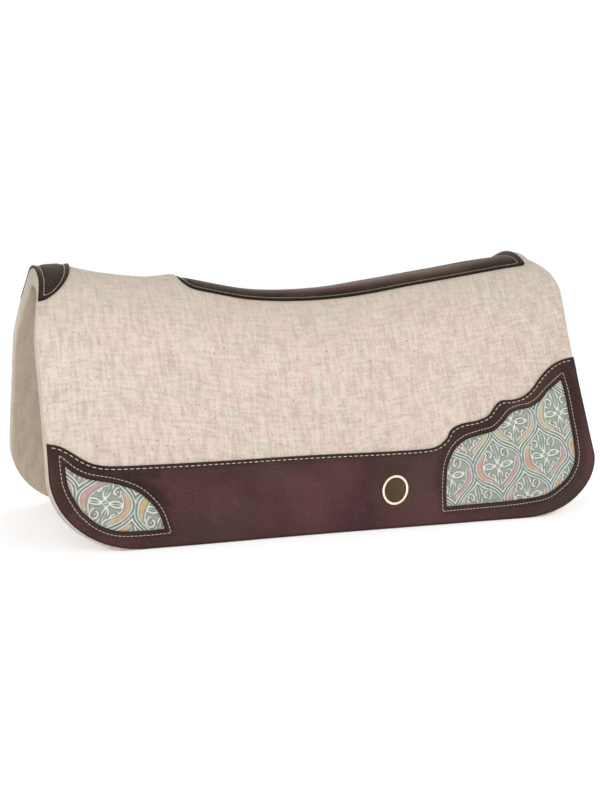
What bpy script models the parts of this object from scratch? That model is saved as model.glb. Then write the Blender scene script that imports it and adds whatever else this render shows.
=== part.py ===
"""Contoured western saddle pad, standing on the lower edges of its two flaps.

The pad is made the way a saddler makes it. Every felt and leather piece is cut
flat from a pattern, and the flat piece is then bent over the arch of the pad.
A pattern has two coordinates: x along the horse, from the front (-X) to the
rear (+X), and u down the side, measured from the spine, with u < 0 on the left
side (-Y) and u > 0 on the right side (+Y). A third one, t, is the height above
the felt's outer face. Metres, +Z up, origin on the floor under the middle.
"""

import bmesh
import bpy
import math
from mathutils import Vector

# Arch of the pad, seen from the front
PAD_LENGTH = 0.787
CROWN_RADIUS = 0.086
SIDE_SLOPE = math.radians(34.0)
SIDE_BOW_RADIUS = 0.526
# Heights of the felt's spine line, and each one's share of the length from the front
SPINE_HEIGHTS = (0.3525, 0.3560, 0.3465, 0.3287, 0.3290, 0.3509, 0.3722, 0.3840)
SPINE_SHARES = (0.0, 0.089, 0.254, 0.394, 0.534, 0.724, 0.889, 1.0)

# Thicknesses
FELT_THICKNESS = 0.025
WEAR_THICKNESS = 0.0026
INLAY_THICKNESS = 0.0016
SPINE_LEATHER_THICKNESS = 0.0030
MEDALLION_THICKNESS = 0.0010
MEDALLION_RING_THICKNESS = 0.0014
THREAD_RADIUS = 0.0006

# Clearances
GAP = 0.0003
SEAM_GAP = 0.0004
LEATHER_EDGE_INSET = 0.0005
LEATHER_FLOOR_GAP = 0.0008
SEAT_CLEARANCE = 0.0004

# Outline of a felt half
FRONT_TOP_SETBACK = 0.0125
FRONT_SETBACK_START = 0.045
FRONT_SETBACK_LENGTH = 0.100
FRONT_CORNER_LENGTH = 0.117
FRONT_CORNER_HEIGHT = 0.097
REAR_CORNER_LENGTH = 0.119
REAR_CORNER_HEIGHT = 0.084
REAR_NOTCH_DEPTH = 0.0305
REAR_NOTCH_HALF_WIDTH = 0.0455
REAR_NOTCH_DROP = 0.110
REAR_EDGE_BOW = 0.0105
FLOOR_TRIM = 0.003

# Wither opening between the two halves, by distance from the front edge
OPENING_START = 0.0605
OPENING_END = 0.2045
OPENING_HALF_WIDTH = 0.040
OPENING_SQUARENESS = 2.4

# The sewn seam draws the felt's outer face in, but not at its two ends
SEAM_SINK = 0.008
SEAM_SINK_REACH = 0.050
SEAM_SINK_FRONT_RAMP = 0.005
SEAM_SINK_REAR_RAMP = 0.015
SEAM_SINK_REAR_INSET = 0.0135

# Spine leathers
PATCH_LENGTH = 0.047
PATCH_HALF_WIDTH = 0.090
STRIP_SETBACK = 0.0030
STRIP_END_INSET = 0.0130
STRIP_HALF_WIDTH = 0.0595
STRIP_FRONT_CORNER = 0.022
STRIP_REAR_CORNER = 0.003

# Top edge of the wear leather: distance from the front edge, height above floor
WEAR_TOP_FRONT = (
    (0.000, 0.1355),
    (0.016, 0.1320),
    (0.031, 0.1235),
    (0.046, 0.1135),
    (0.062, 0.1073),
    (0.086, 0.1045),
    (0.150, 0.1035),
)
WEAR_TOP_MIDDLE = 0.1030
# Its rear part: distance from the rear edge, height above floor
WEAR_TOP_REAR = (
    (0.327, 0.1025),
    (0.267, 0.1035),
    (0.247, 0.1075),
    (0.234, 0.1160),
    (0.225, 0.1280),
    (0.209, 0.1350),
    (0.185, 0.1385),
    (0.165, 0.1450),
    (0.154, 0.1560),
    (0.142, 0.1645),
    (0.123, 0.1655),
    (0.105, 0.1700),
    (0.089, 0.1800),
    (0.072, 0.1960),
    (0.053, 0.2100),
    (0.033, 0.2190),
    (0.011, 0.2230),
)

# Window for the front inlay, which has two sides that meet at sharp corners:
# distance from the front edge, height above floor
FRONT_WINDOW_TOP = (
    (0.0210, 0.1080),
    (0.0305, 0.0998),
    (0.0450, 0.0922),
    (0.0630, 0.0877),
    (0.0810, 0.0838),
    (0.0990, 0.0775),
    (0.1125, 0.0702),
    (0.1260, 0.0579),
    (0.1365, 0.0426),
    (0.1425, 0.0240),
)
FRONT_WINDOW_BOTTOM = (
    (0.1425, 0.0240),
    (0.1245, 0.0233),
    (0.0965, 0.0238),
    (0.0800, 0.0260),
    (0.0645, 0.0317),
    (0.0515, 0.0405),
    (0.0400, 0.0519),
    (0.0320, 0.0639),
    (0.0255, 0.0774),
    (0.0222, 0.0900),
    (0.0210, 0.1080),
)
# Window for the rear inlay: distance from the rear edge, height above floor
REAR_WINDOW_TOP = (
    (0.2435, 0.0243),
    (0.2425, 0.0475),
    (0.2385, 0.0741),
    (0.2325, 0.0881),
    (0.2220, 0.1023),
    (0.2055, 0.1129),
    (0.1865, 0.1180),
    (0.1675, 0.1217),
    (0.1580, 0.1247),
    (0.1430, 0.1350),
    (0.1300, 0.1465),
    (0.1150, 0.1515),
    (0.0980, 0.1540),
    (0.0805, 0.1620),
    (0.0635, 0.1758),
    (0.0385, 0.1920),
)
REAR_WINDOW_BOTTOM = (
    (0.0385, 0.1920),
    (0.0370, 0.1803),
    (0.0360, 0.1599),
    (0.0345, 0.1321),
    (0.0325, 0.1049),
    (0.0325, 0.0839),
    (0.0370, 0.0690),
    (0.0495, 0.0522),
    (0.0730, 0.0365),
    (0.0925, 0.0300),
    (0.1370, 0.0263),
    (0.1835, 0.0252),
    (0.2435, 0.0243),
)
INLAY_FLANGE = 0.009

# Medallion on the wear leather, by distance from the rear edge
MEDALLION_SETBACK = 0.320
MEDALLION_HEIGHT = 0.051
MEDALLION_RADIUS = 0.0195
MEDALLION_RING_WIDTH = 0.0035

# Rows of stitching
EDGE_ROW_INSET = 0.0040
WINDOW_ROW_OFFSET = 0.0060
PATCH_ROW_INSET = 0.0070
STRIP_ROW_INSET = 0.0045
STRIP_ROW_END_INSET = 0.0100
SEAM_ROW_PITCH = 0.007
SEAM_ROW_HALF_WIDTH = 0.006
SEAM_ROW_MARGIN = 0.012

# How finely the pieces are divided where they bend
CROWN_STEPS = 12
FLAP_STEP = 0.045
COLUMN_STEP = 0.044
COLUMN_STEP_MIN = 0.0012
FRONT_RAMP_STEPS = 4
REAR_RAMP_STEPS = 6
THREAD_STEP = 0.014
THREAD_STEP_MIN = 0.0008
THREAD_CORNER = math.radians(50.0)

# How finely the outlines are divided
EDGE_STEPS = 8
CORNER_STEPS = 10
BOTTOM_STEPS = 16
OPENING_STEPS = 20
PATCH_STEPS = 16
STRIP_FRONT_CORNER_STEPS = 5
STRIP_REAR_CORNER_STEPS = 1
CIRCLE_STEPS = 24
LINE_STEPS = 3
WINDOW_STEPS = 2
OUTLINE_STEP_MIN = 0.004

# Limits of the mesh work
WELD_DISTANCE = 0.00001
CUT_TOLERANCE = 0.000001
SNAP_DISTANCE = 0.00005
FLAT_ANGLE = 0.001
MITRE_LIMIT = 0.42

COLLECTION_NAME = "western_saddle_pad"
SIDES = (("left", -1.0), ("right", 1.0))

# The crown arc ends at the shoulder, where the straight side slope begins
CROWN_ARC = CROWN_RADIUS * (math.pi / 2.0 - SIDE_SLOPE)
SHOULDER_DROP = CROWN_RADIUS * (1.0 - math.sin(SIDE_SLOPE))
SHOULDER_HALF_WIDTH = CROWN_RADIUS * math.cos(SIDE_SLOPE)
HALF_LENGTH = PAD_LENGTH / 2.0
SEAM_EDGE = SEAM_GAP / 2.0
# The seam ends at the rear notch, and sinks no more a little before that
SEAM_END = PAD_LENGTH - REAR_NOTCH_DEPTH
SINK_END = SEAM_END - SEAM_SINK_REAR_INSET


def hermite(points, x):
    """Value at x of a smooth line through points given as (x, value)."""
    last = len(points) - 1
    x = min(max(x, points[0][0]), points[last][0])
    i = 0
    while i < last - 1 and x > points[i + 1][0]:
        i += 1
    x0, y0 = points[i]
    x1, y1 = points[i + 1]
    xa, ya = points[max(i - 1, 0)]
    xb, yb = points[min(i + 2, last)]
    span = x1 - x0
    slope0 = (y1 - ya) / (x1 - xa)
    slope1 = (yb - y0) / (xb - x0)
    s = (x - x0) / span
    h00 = (1.0 + 2.0 * s) * (1.0 - s) ** 2
    h10 = s * (1.0 - s) ** 2
    h01 = s * s * (3.0 - 2.0 * s)
    h11 = s * s * (s - 1.0)
    return h00 * y0 + h10 * span * slope0 + h01 * y1 + h11 * span * slope1


def spine_height(x):
    """Height of the felt's spine line, with x measured from the front edge."""
    return hermite(list(zip(SPINE_SHARES, SPINE_HEIGHTS)), x / PAD_LENGTH)


def smoothstep(value):
    value = min(max(value, 0.0), 1.0)
    return value * value * (3.0 - 2.0 * value)


def drop_to(x, height):
    """Pattern distance from the spine down to a height on the flap."""
    return spine_height(x) - SHOULDER_DROP - height + CROWN_ARC


def section(x, p):
    """Outer half width and height at pattern distance p, with its normal."""
    top = spine_height(x)
    if p <= CROWN_ARC:
        angle = p / CROWN_RADIUS
        half_width = CROWN_RADIUS * math.sin(angle)
        height = top - CROWN_RADIUS * (1.0 - math.cos(angle))
        return half_width, height, math.sin(angle), math.cos(angle)
    e = p - CROWN_ARC
    spread = e * math.tan(SIDE_SLOPE) - e * e / (2.0 * SIDE_BOW_RADIUS)
    half_width = SHOULDER_HALF_WIDTH + spread
    slope = math.tan(SIDE_SLOPE) - e / SIDE_BOW_RADIUS
    size = math.hypot(1.0, slope)
    return half_width, top - SHOULDER_DROP - e, 1.0 / size, slope / size


def seam_sink(x, p):
    """How far the sewn seam draws the outer face in."""
    if p >= SEAM_SINK_REACH:
        return 0.0
    front = smoothstep((x - OPENING_END) / SEAM_SINK_FRONT_RAMP)
    rear = smoothstep((SINK_END - x) / SEAM_SINK_REAR_RAMP)
    across = math.cos(math.pi / 2.0 * p / SEAM_SINK_REACH) ** 2
    return SEAM_SINK * front * rear * across


def bend_rows():
    """Pattern distances from the spine at which every piece may bend."""
    rows = [CROWN_ARC * i / CROWN_STEPS for i in range(CROWN_STEPS + 1)]
    while rows[-1] < drop_to(PAD_LENGTH, -FLOOR_TRIM):
        rows.append(rows[-1] + FLAP_STEP)
    return rows


def bend_columns():
    """Places along the pad at which every piece may bend."""
    count = math.ceil(PAD_LENGTH / COLUMN_STEP)
    columns = [PAD_LENGTH * i / count for i in range(count + 1)]
    for i in range(FRONT_RAMP_STEPS + 1):
        columns.append(OPENING_END + SEAM_SINK_FRONT_RAMP * i / FRONT_RAMP_STEPS)
    for i in range(REAR_RAMP_STEPS + 1):
        columns.append(SINK_END - SEAM_SINK_REAR_RAMP * i / REAR_RAMP_STEPS)
    kept = []
    for column in sorted(columns):
        if not kept or column - kept[-1] >= COLUMN_STEP_MIN:
            kept.append(column)
    return kept


def bracket(lines, value):
    """The two bend lines around a value, and its share of the way between."""
    i = 0
    while i < len(lines) - 2 and value > lines[i + 1]:
        i += 1
    return lines[i], lines[i + 1], (value - lines[i]) / (lines[i + 1] - lines[i])


def surface_point(x, p, t):
    """Half width and height of the arch at height t over the felt."""
    half_width, height, out, up = section(x, p)
    pressed = max(1.0 + min(t, 0.0) / FELT_THICKNESS, 0.0)
    t -= seam_sink(x, p) * pressed
    return Vector((half_width + t * out, height + t * up))


def drape(x, u, t):
    """World position of the pattern point (x, u) at height t over the felt.

    Between two bend lines a piece stays flat, so that pieces which lie on each
    other keep their clearance.
    """
    row0, row1, down = bracket(ROWS, abs(u))
    column0, column1, along = bracket(COLUMNS, x)
    front = surface_point(column0, row0, t).lerp(surface_point(column0, row1, t), down)
    rear = surface_point(column1, row0, t).lerp(surface_point(column1, row1, t), down)
    half_width, height = front.lerp(rear, along)
    return Vector((x - HALF_LENGTH, math.copysign(half_width, u), height))


def front_edge(p):
    """Distance of the felt's front edge from the front of the box."""
    s = smoothstep((p - FRONT_SETBACK_START) / FRONT_SETBACK_LENGTH)
    return FRONT_TOP_SETBACK * (1.0 - s)


def rear_edge(p):
    """Distance of the felt's rear edge from the front of the box."""
    if p < REAR_NOTCH_DROP:
        wide = REAR_NOTCH_DROP - REAR_NOTCH_HALF_WIDTH
        s = max(p - REAR_NOTCH_HALF_WIDTH, 0.0) / wide
        return SEAM_END + REAR_NOTCH_DEPTH * math.sin(math.pi / 2.0 * s)
    corner = drop_to(PAD_LENGTH, REAR_CORNER_HEIGHT)
    s = min((p - REAR_NOTCH_DROP) / (corner - REAR_NOTCH_DROP), 1.0)
    return PAD_LENGTH - REAR_EDGE_BOW * 4.0 * s * (1.0 - s)


def from_rear(points):
    """Turn distances from the rear edge into distances from the front one."""
    return [(PAD_LENGTH - x, height) for x, height in points]


def smooth_line(points, steps):
    """Points of a smooth open line through the given ones."""
    result = []
    last = len(points) - 1
    for i in range(last):
        a = Vector(points[max(i - 1, 0)])
        b = Vector(points[i])
        c = Vector(points[i + 1])
        d = Vector(points[min(i + 2, last)])
        for k in range(steps):
            s = k / steps
            point = 0.5 * (
                2.0 * b
                + (c - a) * s
                + (2.0 * a - 5.0 * b + 4.0 * c - d) * s * s
                + (3.0 * b - a - 3.0 * c + d) * s ** 3
            )
            result.append((point.x, point.y))
    result.append(tuple(points[last]))
    return result


def joined_loop(sides, steps):
    """Closed line of smooth sides, each of which ends where the next one starts."""
    result = []
    for side in sides:
        result += smooth_line(side, steps)[:-1]
    return result


def signed_area(loop):
    total = 0.0
    for (x0, y0), (x1, y1) in zip(loop, loop[1:] + loop[:1]):
        total += x0 * y1 - x1 * y0
    return total / 2.0


def offset_loop(loop, distance):
    """Loop moved outwards by a distance."""
    sign = 1.0 if signed_area(loop) > 0.0 else -1.0
    count = len(loop)
    result = []
    for i in range(count):
        before = Vector(loop[i]) - Vector(loop[i - 1])
        after = Vector(loop[(i + 1) % count]) - Vector(loop[i])
        before.normalize()
        after.normalize()
        normal = Vector((before.y + after.y, -before.x - after.x)) * sign
        normal.normalize()
        turn = max(normal.dot(Vector((after.y, -after.x)) * sign), MITRE_LIMIT)
        result.append(tuple(Vector(loop[i]) + normal * (distance / turn)))
    return result


def to_pattern(loop):
    """Turn (x, height above floor) points into pattern (x, u) points."""
    return [(x, drop_to(x, height)) for x, height in loop]


def mirrored(loop, side):
    """Pattern of the wanted side, from one written with positive u."""
    return [(x, side * u) for x, u in loop]


def opening_edge():
    """Edge of the wither opening in one half, from front to rear."""
    middle = (OPENING_START + OPENING_END) / 2.0
    half = (OPENING_END - OPENING_START) / 2.0
    power = 2.0 / OPENING_SQUARENESS
    result = []
    for i in range(1, OPENING_STEPS):
        angle = math.pi * (1.0 - i / OPENING_STEPS)
        x = middle + half * math.copysign(abs(math.cos(angle)) ** power, math.cos(angle))
        u = OPENING_HALF_WIDTH * math.sin(angle) ** power
        result.append((x, max(u, SEAM_EDGE)))
    return result


def lower_outline(height, inset):
    """Rear edge, rear corner, bottom, front corner and front edge.

    The line starts at the notch of the rear edge. Its bottom runs at the given
    height above the floor, and its front and rear lie in by the inset.
    """
    result = []
    for i in range(EDGE_STEPS + 1):
        share = i / EDGE_STEPS
        p = REAR_NOTCH_HALF_WIDTH + (REAR_NOTCH_DROP - REAR_NOTCH_HALF_WIDTH) * share
        result.append((rear_edge(p) - inset, p))
    corner = drop_to(PAD_LENGTH, REAR_CORNER_HEIGHT)
    for i in range(1, EDGE_STEPS + 1):
        p = REAR_NOTCH_DROP + (corner - REAR_NOTCH_DROP) * i / EDGE_STEPS
        result.append((rear_edge(p) - inset, p))
    for i in range(1, CORNER_STEPS + 1):
        angle = math.pi / 2.0 * i / CORNER_STEPS
        x = PAD_LENGTH - inset - (REAR_CORNER_LENGTH - inset) * (1.0 - math.cos(angle))
        z = REAR_CORNER_HEIGHT - (REAR_CORNER_HEIGHT - height) * math.sin(angle)
        result.append((x, drop_to(x, z)))
    straight = PAD_LENGTH - REAR_CORNER_LENGTH - FRONT_CORNER_LENGTH
    for i in range(1, BOTTOM_STEPS + 1):
        x = PAD_LENGTH - REAR_CORNER_LENGTH - straight * i / BOTTOM_STEPS
        result.append((x, drop_to(x, height)))
    for i in range(1, CORNER_STEPS + 1):
        angle = math.pi / 2.0 * i / CORNER_STEPS
        x = FRONT_CORNER_LENGTH - (FRONT_CORNER_LENGTH - inset) * math.sin(angle)
        z = FRONT_CORNER_HEIGHT - (FRONT_CORNER_HEIGHT - height) * math.cos(angle)
        result.append((x, drop_to(x, z)))
    corner = drop_to(0.0, FRONT_CORNER_HEIGHT)
    for i in range(1, CORNER_STEPS + 1):
        p = corner * (1.0 - i / CORNER_STEPS)
        result.append((front_edge(p) + inset, max(p, SEAM_EDGE)))
    return result


def felt_outline():
    """Outline of one felt half, seam edge first."""
    seam = [(OPENING_START, SEAM_EDGE)] + opening_edge() + [(OPENING_END, SEAM_EDGE)]
    return seam + [(SEAM_END, SEAM_EDGE)] + lower_outline(-FLOOR_TRIM, 0.0)


def wear_top_edge():
    """Top edge of the wear leather: distance from the front, height above floor."""
    rear = from_rear(WEAR_TOP_REAR)
    start = WEAR_TOP_FRONT[-1][0]
    third = (rear[0][0] - start) / 3.0
    middle = [(start + third, WEAR_TOP_MIDDLE), (start + 2.0 * third, WEAR_TOP_MIDDLE)]
    return smooth_line(list(WEAR_TOP_FRONT) + middle + rear, LINE_STEPS)


def wear_outline():
    """Outline of the wear leather, top edge first."""
    top = to_pattern(wear_top_edge())
    front_u = top[0][1]
    rear_u = top[-1][1]
    top[0] = (front_edge(front_u) + LEATHER_EDGE_INSET, front_u)
    top[-1] = (rear_edge(rear_u) - LEATHER_EDGE_INSET, rear_u)
    border = []
    for x, u in lower_outline(LEATHER_FLOOR_GAP, LEATHER_EDGE_INSET):
        end_u = rear_u if x > HALF_LENGTH else front_u
        if u > end_u + OUTLINE_STEP_MIN:
            border.append((x, u))
    return top + border


def windows():
    """Name and outline of the two windows in the wear leather."""
    front = (FRONT_WINDOW_TOP, FRONT_WINDOW_BOTTOM)
    rear = (from_rear(REAR_WINDOW_TOP), from_rear(REAR_WINDOW_BOTTOM))
    return (
        ("front", joined_loop(front, WINDOW_STEPS)),
        ("rear", joined_loop(rear, WINDOW_STEPS)),
    )


def patch_outline(inset):
    """Half-moon patch over the withers, both sides of the spine."""
    result = []
    front = LEATHER_EDGE_INSET + inset
    half = PATCH_HALF_WIDTH - inset
    for i in range(PATCH_STEPS + 1):
        u = -half + 2.0 * half * i / PATCH_STEPS
        result.append((front_edge(abs(u)) + front, u))
    length = PATCH_LENGTH - 2.0 * inset
    for i in range(1, PATCH_STEPS):
        angle = math.pi * i / PATCH_STEPS
        u = half * math.cos(angle)
        result.append((front_edge(abs(u)) + front + length * math.sin(angle), u))
    return result


def corner_arc(radius, half, steps):
    """Rounded corner: distance in from the end of the strip, and half width."""
    result = []
    for i in range(steps + 1):
        angle = math.pi / 2.0 * i / steps
        in_x = radius * (1.0 - math.cos(angle))
        result.append((in_x, half - radius * (1.0 - math.sin(angle))))
    return result


def strip_outline(inset, rear_inset):
    """Spine strip, from the wither opening to near the rear notch."""
    front = OPENING_END + STRIP_SETBACK + inset
    rear = SEAM_END - STRIP_END_INSET - rear_inset
    half = STRIP_HALF_WIDTH - inset
    front_arc = corner_arc(STRIP_FRONT_CORNER - inset, half, STRIP_FRONT_CORNER_STEPS)
    rear_arc = corner_arc(STRIP_REAR_CORNER, half, STRIP_REAR_CORNER_STEPS)
    right = [(front, 0.0)] + [(front + in_x, u) for in_x, u in front_arc]
    right += [(rear - in_x, u) for in_x, u in reversed(rear_arc)] + [(rear, 0.0)]
    left = [(x, -u) for x, u in reversed(right[1:-1])]
    return right + left


def circle(radius):
    """Circle on the wear leather at the medallion's place."""
    middle = PAD_LENGTH - MEDALLION_SETBACK
    centre = drop_to(middle, MEDALLION_HEIGHT)
    result = []
    for i in range(CIRCLE_STEPS):
        angle = 2.0 * math.pi * i / CIRCLE_STEPS
        result.append((middle + radius * math.cos(angle), centre + radius * math.sin(angle)))
    return result


def make_material(name, colour, roughness, metallic=0.0):
    material = bpy.data.materials.new(name)
    material.use_nodes = True
    shader = material.node_tree.nodes["Principled BSDF"]
    shader.inputs["Base Color"].default_value = (*colour, 1.0)
    shader.inputs["Roughness"].default_value = roughness
    shader.inputs["Metallic"].default_value = metallic
    material.diffuse_color = (*colour, 1.0)
    return material


def evaluated_mesh(obj):
    """Mesh of an object as the viewport shows it, with its caps welded."""
    depsgraph = bpy.context.evaluated_depsgraph_get()
    mesh = bpy.data.meshes.new_from_object(obj.evaluated_get(depsgraph))
    work = bmesh.new()
    work.from_mesh(mesh)
    bmesh.ops.remove_doubles(work, verts=work.verts, dist=WELD_DISTANCE)
    work.to_mesh(mesh)
    work.free()
    return mesh


def flat_piece(name, loops, bottom, thickness):
    """Flat piece cut from a pattern: the first loop is its outline."""
    curve = bpy.data.curves.new(name, "CURVE")
    curve.dimensions = "2D"
    curve.fill_mode = "BOTH"
    curve.extrude = thickness / 2.0
    curve.render_resolution_u = 0
    for loop in loops:
        spline = curve.splines.new("POLY")
        spline.points.add(len(loop) - 1)
        for point, (x, u) in zip(spline.points, loop):
            point.co = (x, u, 0.0, 1.0)
        spline.use_cyclic_u = True
    holder = bpy.data.objects.new(name, curve)
    bpy.context.scene.collection.objects.link(holder)
    mesh = evaluated_mesh(holder)
    bpy.data.objects.remove(holder)
    for vertex in mesh.vertices:
        vertex.co.z += bottom + thickness / 2.0
    return mesh


def cut_flat(mesh, cutters):
    """Flat mesh with the flat cutter meshes taken away from it."""
    body = bpy.data.objects.new("flat_body", mesh)
    bpy.context.scene.collection.objects.link(body)
    tools = []
    for cutter in cutters:
        tool = bpy.data.objects.new("flat_cutter", cutter)
        bpy.context.scene.collection.objects.link(tool)
        boolean = body.modifiers.new("seat", "BOOLEAN")
        boolean.operation = "DIFFERENCE"
        boolean.solver = "EXACT"
        boolean.object = tool
        tools.append(tool)
    bpy.context.view_layer.update()
    result = evaluated_mesh(body)
    for obj in [body] + tools:
        bpy.data.objects.remove(obj)
    return result


def slice_at(work, axis, value):
    """Divide the mesh at a bend line, after setting the points near it onto it."""
    for vertex in work.verts:
        if abs(vertex.co[axis] - value) < SNAP_DISTANCE:
            vertex.co[axis] = value
    normal = Vector((0.0, 0.0, 0.0))
    normal[axis] = 1.0
    geometry = work.verts[:] + work.edges[:] + work.faces[:]
    bmesh.ops.bisect_plane(
        work, geom=geometry, dist=CUT_TOLERANCE, plane_co=normal * value, plane_no=normal
    )


def on_bend_line(edge):
    """Whether a flat edge lies along one of the bend lines."""
    (x0, u0, _), (x1, u1, _) = (vertex.co for vertex in edge.verts)
    if abs(x0 - x1) < CUT_TOLERANCE:
        return any(abs(x0 - column) < CUT_TOLERANCE for column in COLUMNS)
    if abs(u0 - u1) < CUT_TOLERANCE:
        return any(abs(abs(u0) - row) < CUT_TOLERANCE for row in ROWS)
    return False


def cut_at_floor(work):
    """Cut the piece flat at floor level and close the cut."""
    geometry = work.verts[:] + work.edges[:] + work.faces[:]
    cut = bmesh.ops.bisect_plane(
        work, geom=geometry, dist=WELD_DISTANCE, plane_co=(0.0, 0.0, 0.0),
        plane_no=(0.0, 0.0, -1.0), clear_outer=True,
    )
    rim = [item for item in cut["geom_cut"] if isinstance(item, bmesh.types.BMEdge)]
    bmesh.ops.holes_fill(work, edges=rim, sides=0)


def place(name, data, material, collection):
    obj = bpy.data.objects.new(name, data)
    data.materials.append(material)
    collection.objects.link(obj)
    return obj


def bend_piece(name, mesh, material, collection, trim_floor=False):
    """Divide a flat mesh along the bend lines and bend it over the arch."""
    work = bmesh.new()
    work.from_mesh(mesh)
    bpy.data.meshes.remove(mesh)
    low_x = min(v.co.x for v in work.verts)
    high_x = max(v.co.x for v in work.verts)
    low_u = min(v.co.y for v in work.verts)
    high_u = max(v.co.y for v in work.verts)
    for row in sorted({-row for row in ROWS} | set(ROWS)):
        if low_u < row < high_u:
            slice_at(work, 1, row)
    for column in COLUMNS:
        if low_x < column < high_x:
            slice_at(work, 0, column)
    loose = [edge for edge in work.edges if not on_bend_line(edge)]
    bmesh.ops.dissolve_limit(work, angle_limit=FLAT_ANGLE, verts=work.verts[:], edges=loose)
    for vertex in work.verts:
        vertex.co = drape(*vertex.co)
    if trim_floor:
        cut_at_floor(work)
    bmesh.ops.remove_doubles(work, verts=work.verts, dist=WELD_DISTANCE)
    bmesh.ops.dissolve_degenerate(work, edges=work.edges, dist=WELD_DISTANCE)
    bmesh.ops.recalc_face_normals(work, faces=work.faces)
    result = bpy.data.meshes.new(name)
    work.to_mesh(result)
    work.free()
    return place(name, result, material, collection)


def evenly(points):
    """Points at an even spacing along a line, without its last point."""
    lengths = [0.0]
    for a, b in zip(points, points[1:]):
        lengths.append(lengths[-1] + (b - a).length)
    total = lengths[-1]
    count = max(round(total / THREAD_STEP), 1)
    result = []
    segment = 0
    for i in range(count):
        wanted = total * i / count
        while segment < len(points) - 2 and lengths[segment + 1] < wanted:
            segment += 1
        s = (wanted - lengths[segment]) / (lengths[segment + 1] - lengths[segment])
        result.append(tuple(points[segment].lerp(points[segment + 1], s)))
    return result


def resample(line, closed):
    """Points at an even spacing between the sharp corners of a pattern line."""
    points = [Vector(point) for point in line]
    if closed:
        points.append(points[0])
    corners = [0]
    for i in range(1, len(points) - 1):
        if (points[i] - points[i - 1]).angle(points[i + 1] - points[i]) > THREAD_CORNER:
            corners.append(i)
    corners.append(len(points) - 1)
    result = []
    for start, end in zip(corners, corners[1:]):
        result += evenly(points[start:end + 1])
    return result if closed else result + [tuple(points[-1])]


def with_bends(points, closed):
    """The points, with one more wherever the line between them meets a bend line."""
    ends = points[1:] + points[:1] if closed else points[1:]
    result = []
    for (x0, u0), (x1, u1) in zip(points, ends):
        result.append((x0, u0))
        shares = [(column - x0) / (x1 - x0) for column in COLUMNS if x0 != x1]
        shares += [(row - u0) / (u1 - u0) for row in ROWS if u0 != u1]
        shares += [(-row - u0) / (u1 - u0) for row in ROWS if u0 != u1]
        margin = THREAD_STEP_MIN / math.hypot(x1 - x0, u1 - u0)
        last = 0.0
        for share in sorted(shares):
            if last + margin < share < 1.0 - margin:
                result.append((x0 + (x1 - x0) * share, u0 + (u1 - u0) * share))
                last = share
    return result if closed else result + [points[-1]]


def thread_row(name, points, height, material, collection, closed):
    """Sewing thread through pattern points, its axis at a height over the felt."""
    points = with_bends(points, closed)
    curve = bpy.data.curves.new(name, "CURVE")
    curve.dimensions = "3D"
    curve.bevel_depth = THREAD_RADIUS
    curve.bevel_resolution = 0
    curve.use_fill_caps = True
    curve.render_resolution_u = 0
    spline = curve.splines.new("POLY")
    spline.points.add(len(points) - 1)
    for point, (x, u) in zip(spline.points, points):
        point.co = (*drape(x, u, height), 1.0)
    spline.use_cyclic_u = closed
    return place(name, curve, material, collection)


def inner_line(line, inset):
    """Line moved down the leather by an inset, and shortened at both ends."""
    result = []
    for i in range(len(line)):
        before = Vector(line[max(i - 1, 0)])
        after = Vector(line[min(i + 1, len(line) - 1)])
        along = (after - before).normalized()
        normal = Vector((along.y, -along.x))
        point = Vector(line[i]) + normal * inset
        result.append((point.x, point.y))
    low = line[0][0] + inset
    high = line[-1][0] - inset
    return [(x, z) for x, z in result if low <= x <= high]


def seam_zigzag():
    """The zigzag that joins the two felt halves on their underside."""
    start = OPENING_END + SEAM_ROW_MARGIN
    end = SEAM_END - SEAM_ROW_MARGIN
    count = int((end - start) / SEAM_ROW_PITCH)
    result = []
    for i in range(count + 1):
        side = -1.0 if i % 2 else 1.0
        result.append((start + (end - start) * i / count, side * SEAM_ROW_HALF_WIDTH))
    return result


def build_felt(materials, collection):
    """The two felt halves, each with a shallow seat under its inlays."""
    seat_depth = INLAY_THICKNESS + GAP
    for side_name, side in SIDES:
        felt = flat_piece(
            "felt", [mirrored(felt_outline(), side)], -FELT_THICKNESS, FELT_THICKNESS
        )
        seats = []
        for _, window in windows():
            loop = offset_loop(window, INLAY_FLANGE + SEAT_CLEARANCE)
            pattern = mirrored(to_pattern(loop), side)
            seats.append(flat_piece("seat", [pattern], -seat_depth, 2.0 * seat_depth))
        felt = cut_flat(felt, seats)
        bend_piece("felt_" + side_name, felt, materials["felt"], collection, trim_floor=True)


def build_wear_leather(materials, collection):
    """The wear leathers, with a window over each inlay."""
    for side_name, side in SIDES:
        loops = [mirrored(wear_outline(), side)]
        for _, window in windows():
            loops.append(mirrored(to_pattern(window), side))
        mesh = flat_piece("wear", loops, GAP, WEAR_THICKNESS)
        bend_piece("wear_leather_" + side_name, mesh, materials["wear"], collection)


def build_inlays(materials, collection):
    """The inlays, whose flanges lie under the edges of the windows."""
    for side_name, side in SIDES:
        for window_name, window in windows():
            loop = offset_loop(window, INLAY_FLANGE)
            pattern = mirrored(to_pattern(loop), side)
            mesh = flat_piece("inlay", [pattern], -INLAY_THICKNESS, INLAY_THICKNESS)
            name = window_name + "_inlay_" + side_name
            bend_piece(name, mesh, materials["inlay"], collection)


def build_spine_leathers(materials, collection):
    """The wither patch and the spine strip, which cross the spine."""
    patch = flat_piece("patch", [patch_outline(0.0)], GAP, SPINE_LEATHER_THICKNESS)
    bend_piece("wither_patch", patch, materials["spine"], collection)
    strip = flat_piece("strip", [strip_outline(0.0, 0.0)], GAP, SPINE_LEATHER_THICKNESS)
    bend_piece("spine_strip", strip, materials["spine"], collection)


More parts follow.
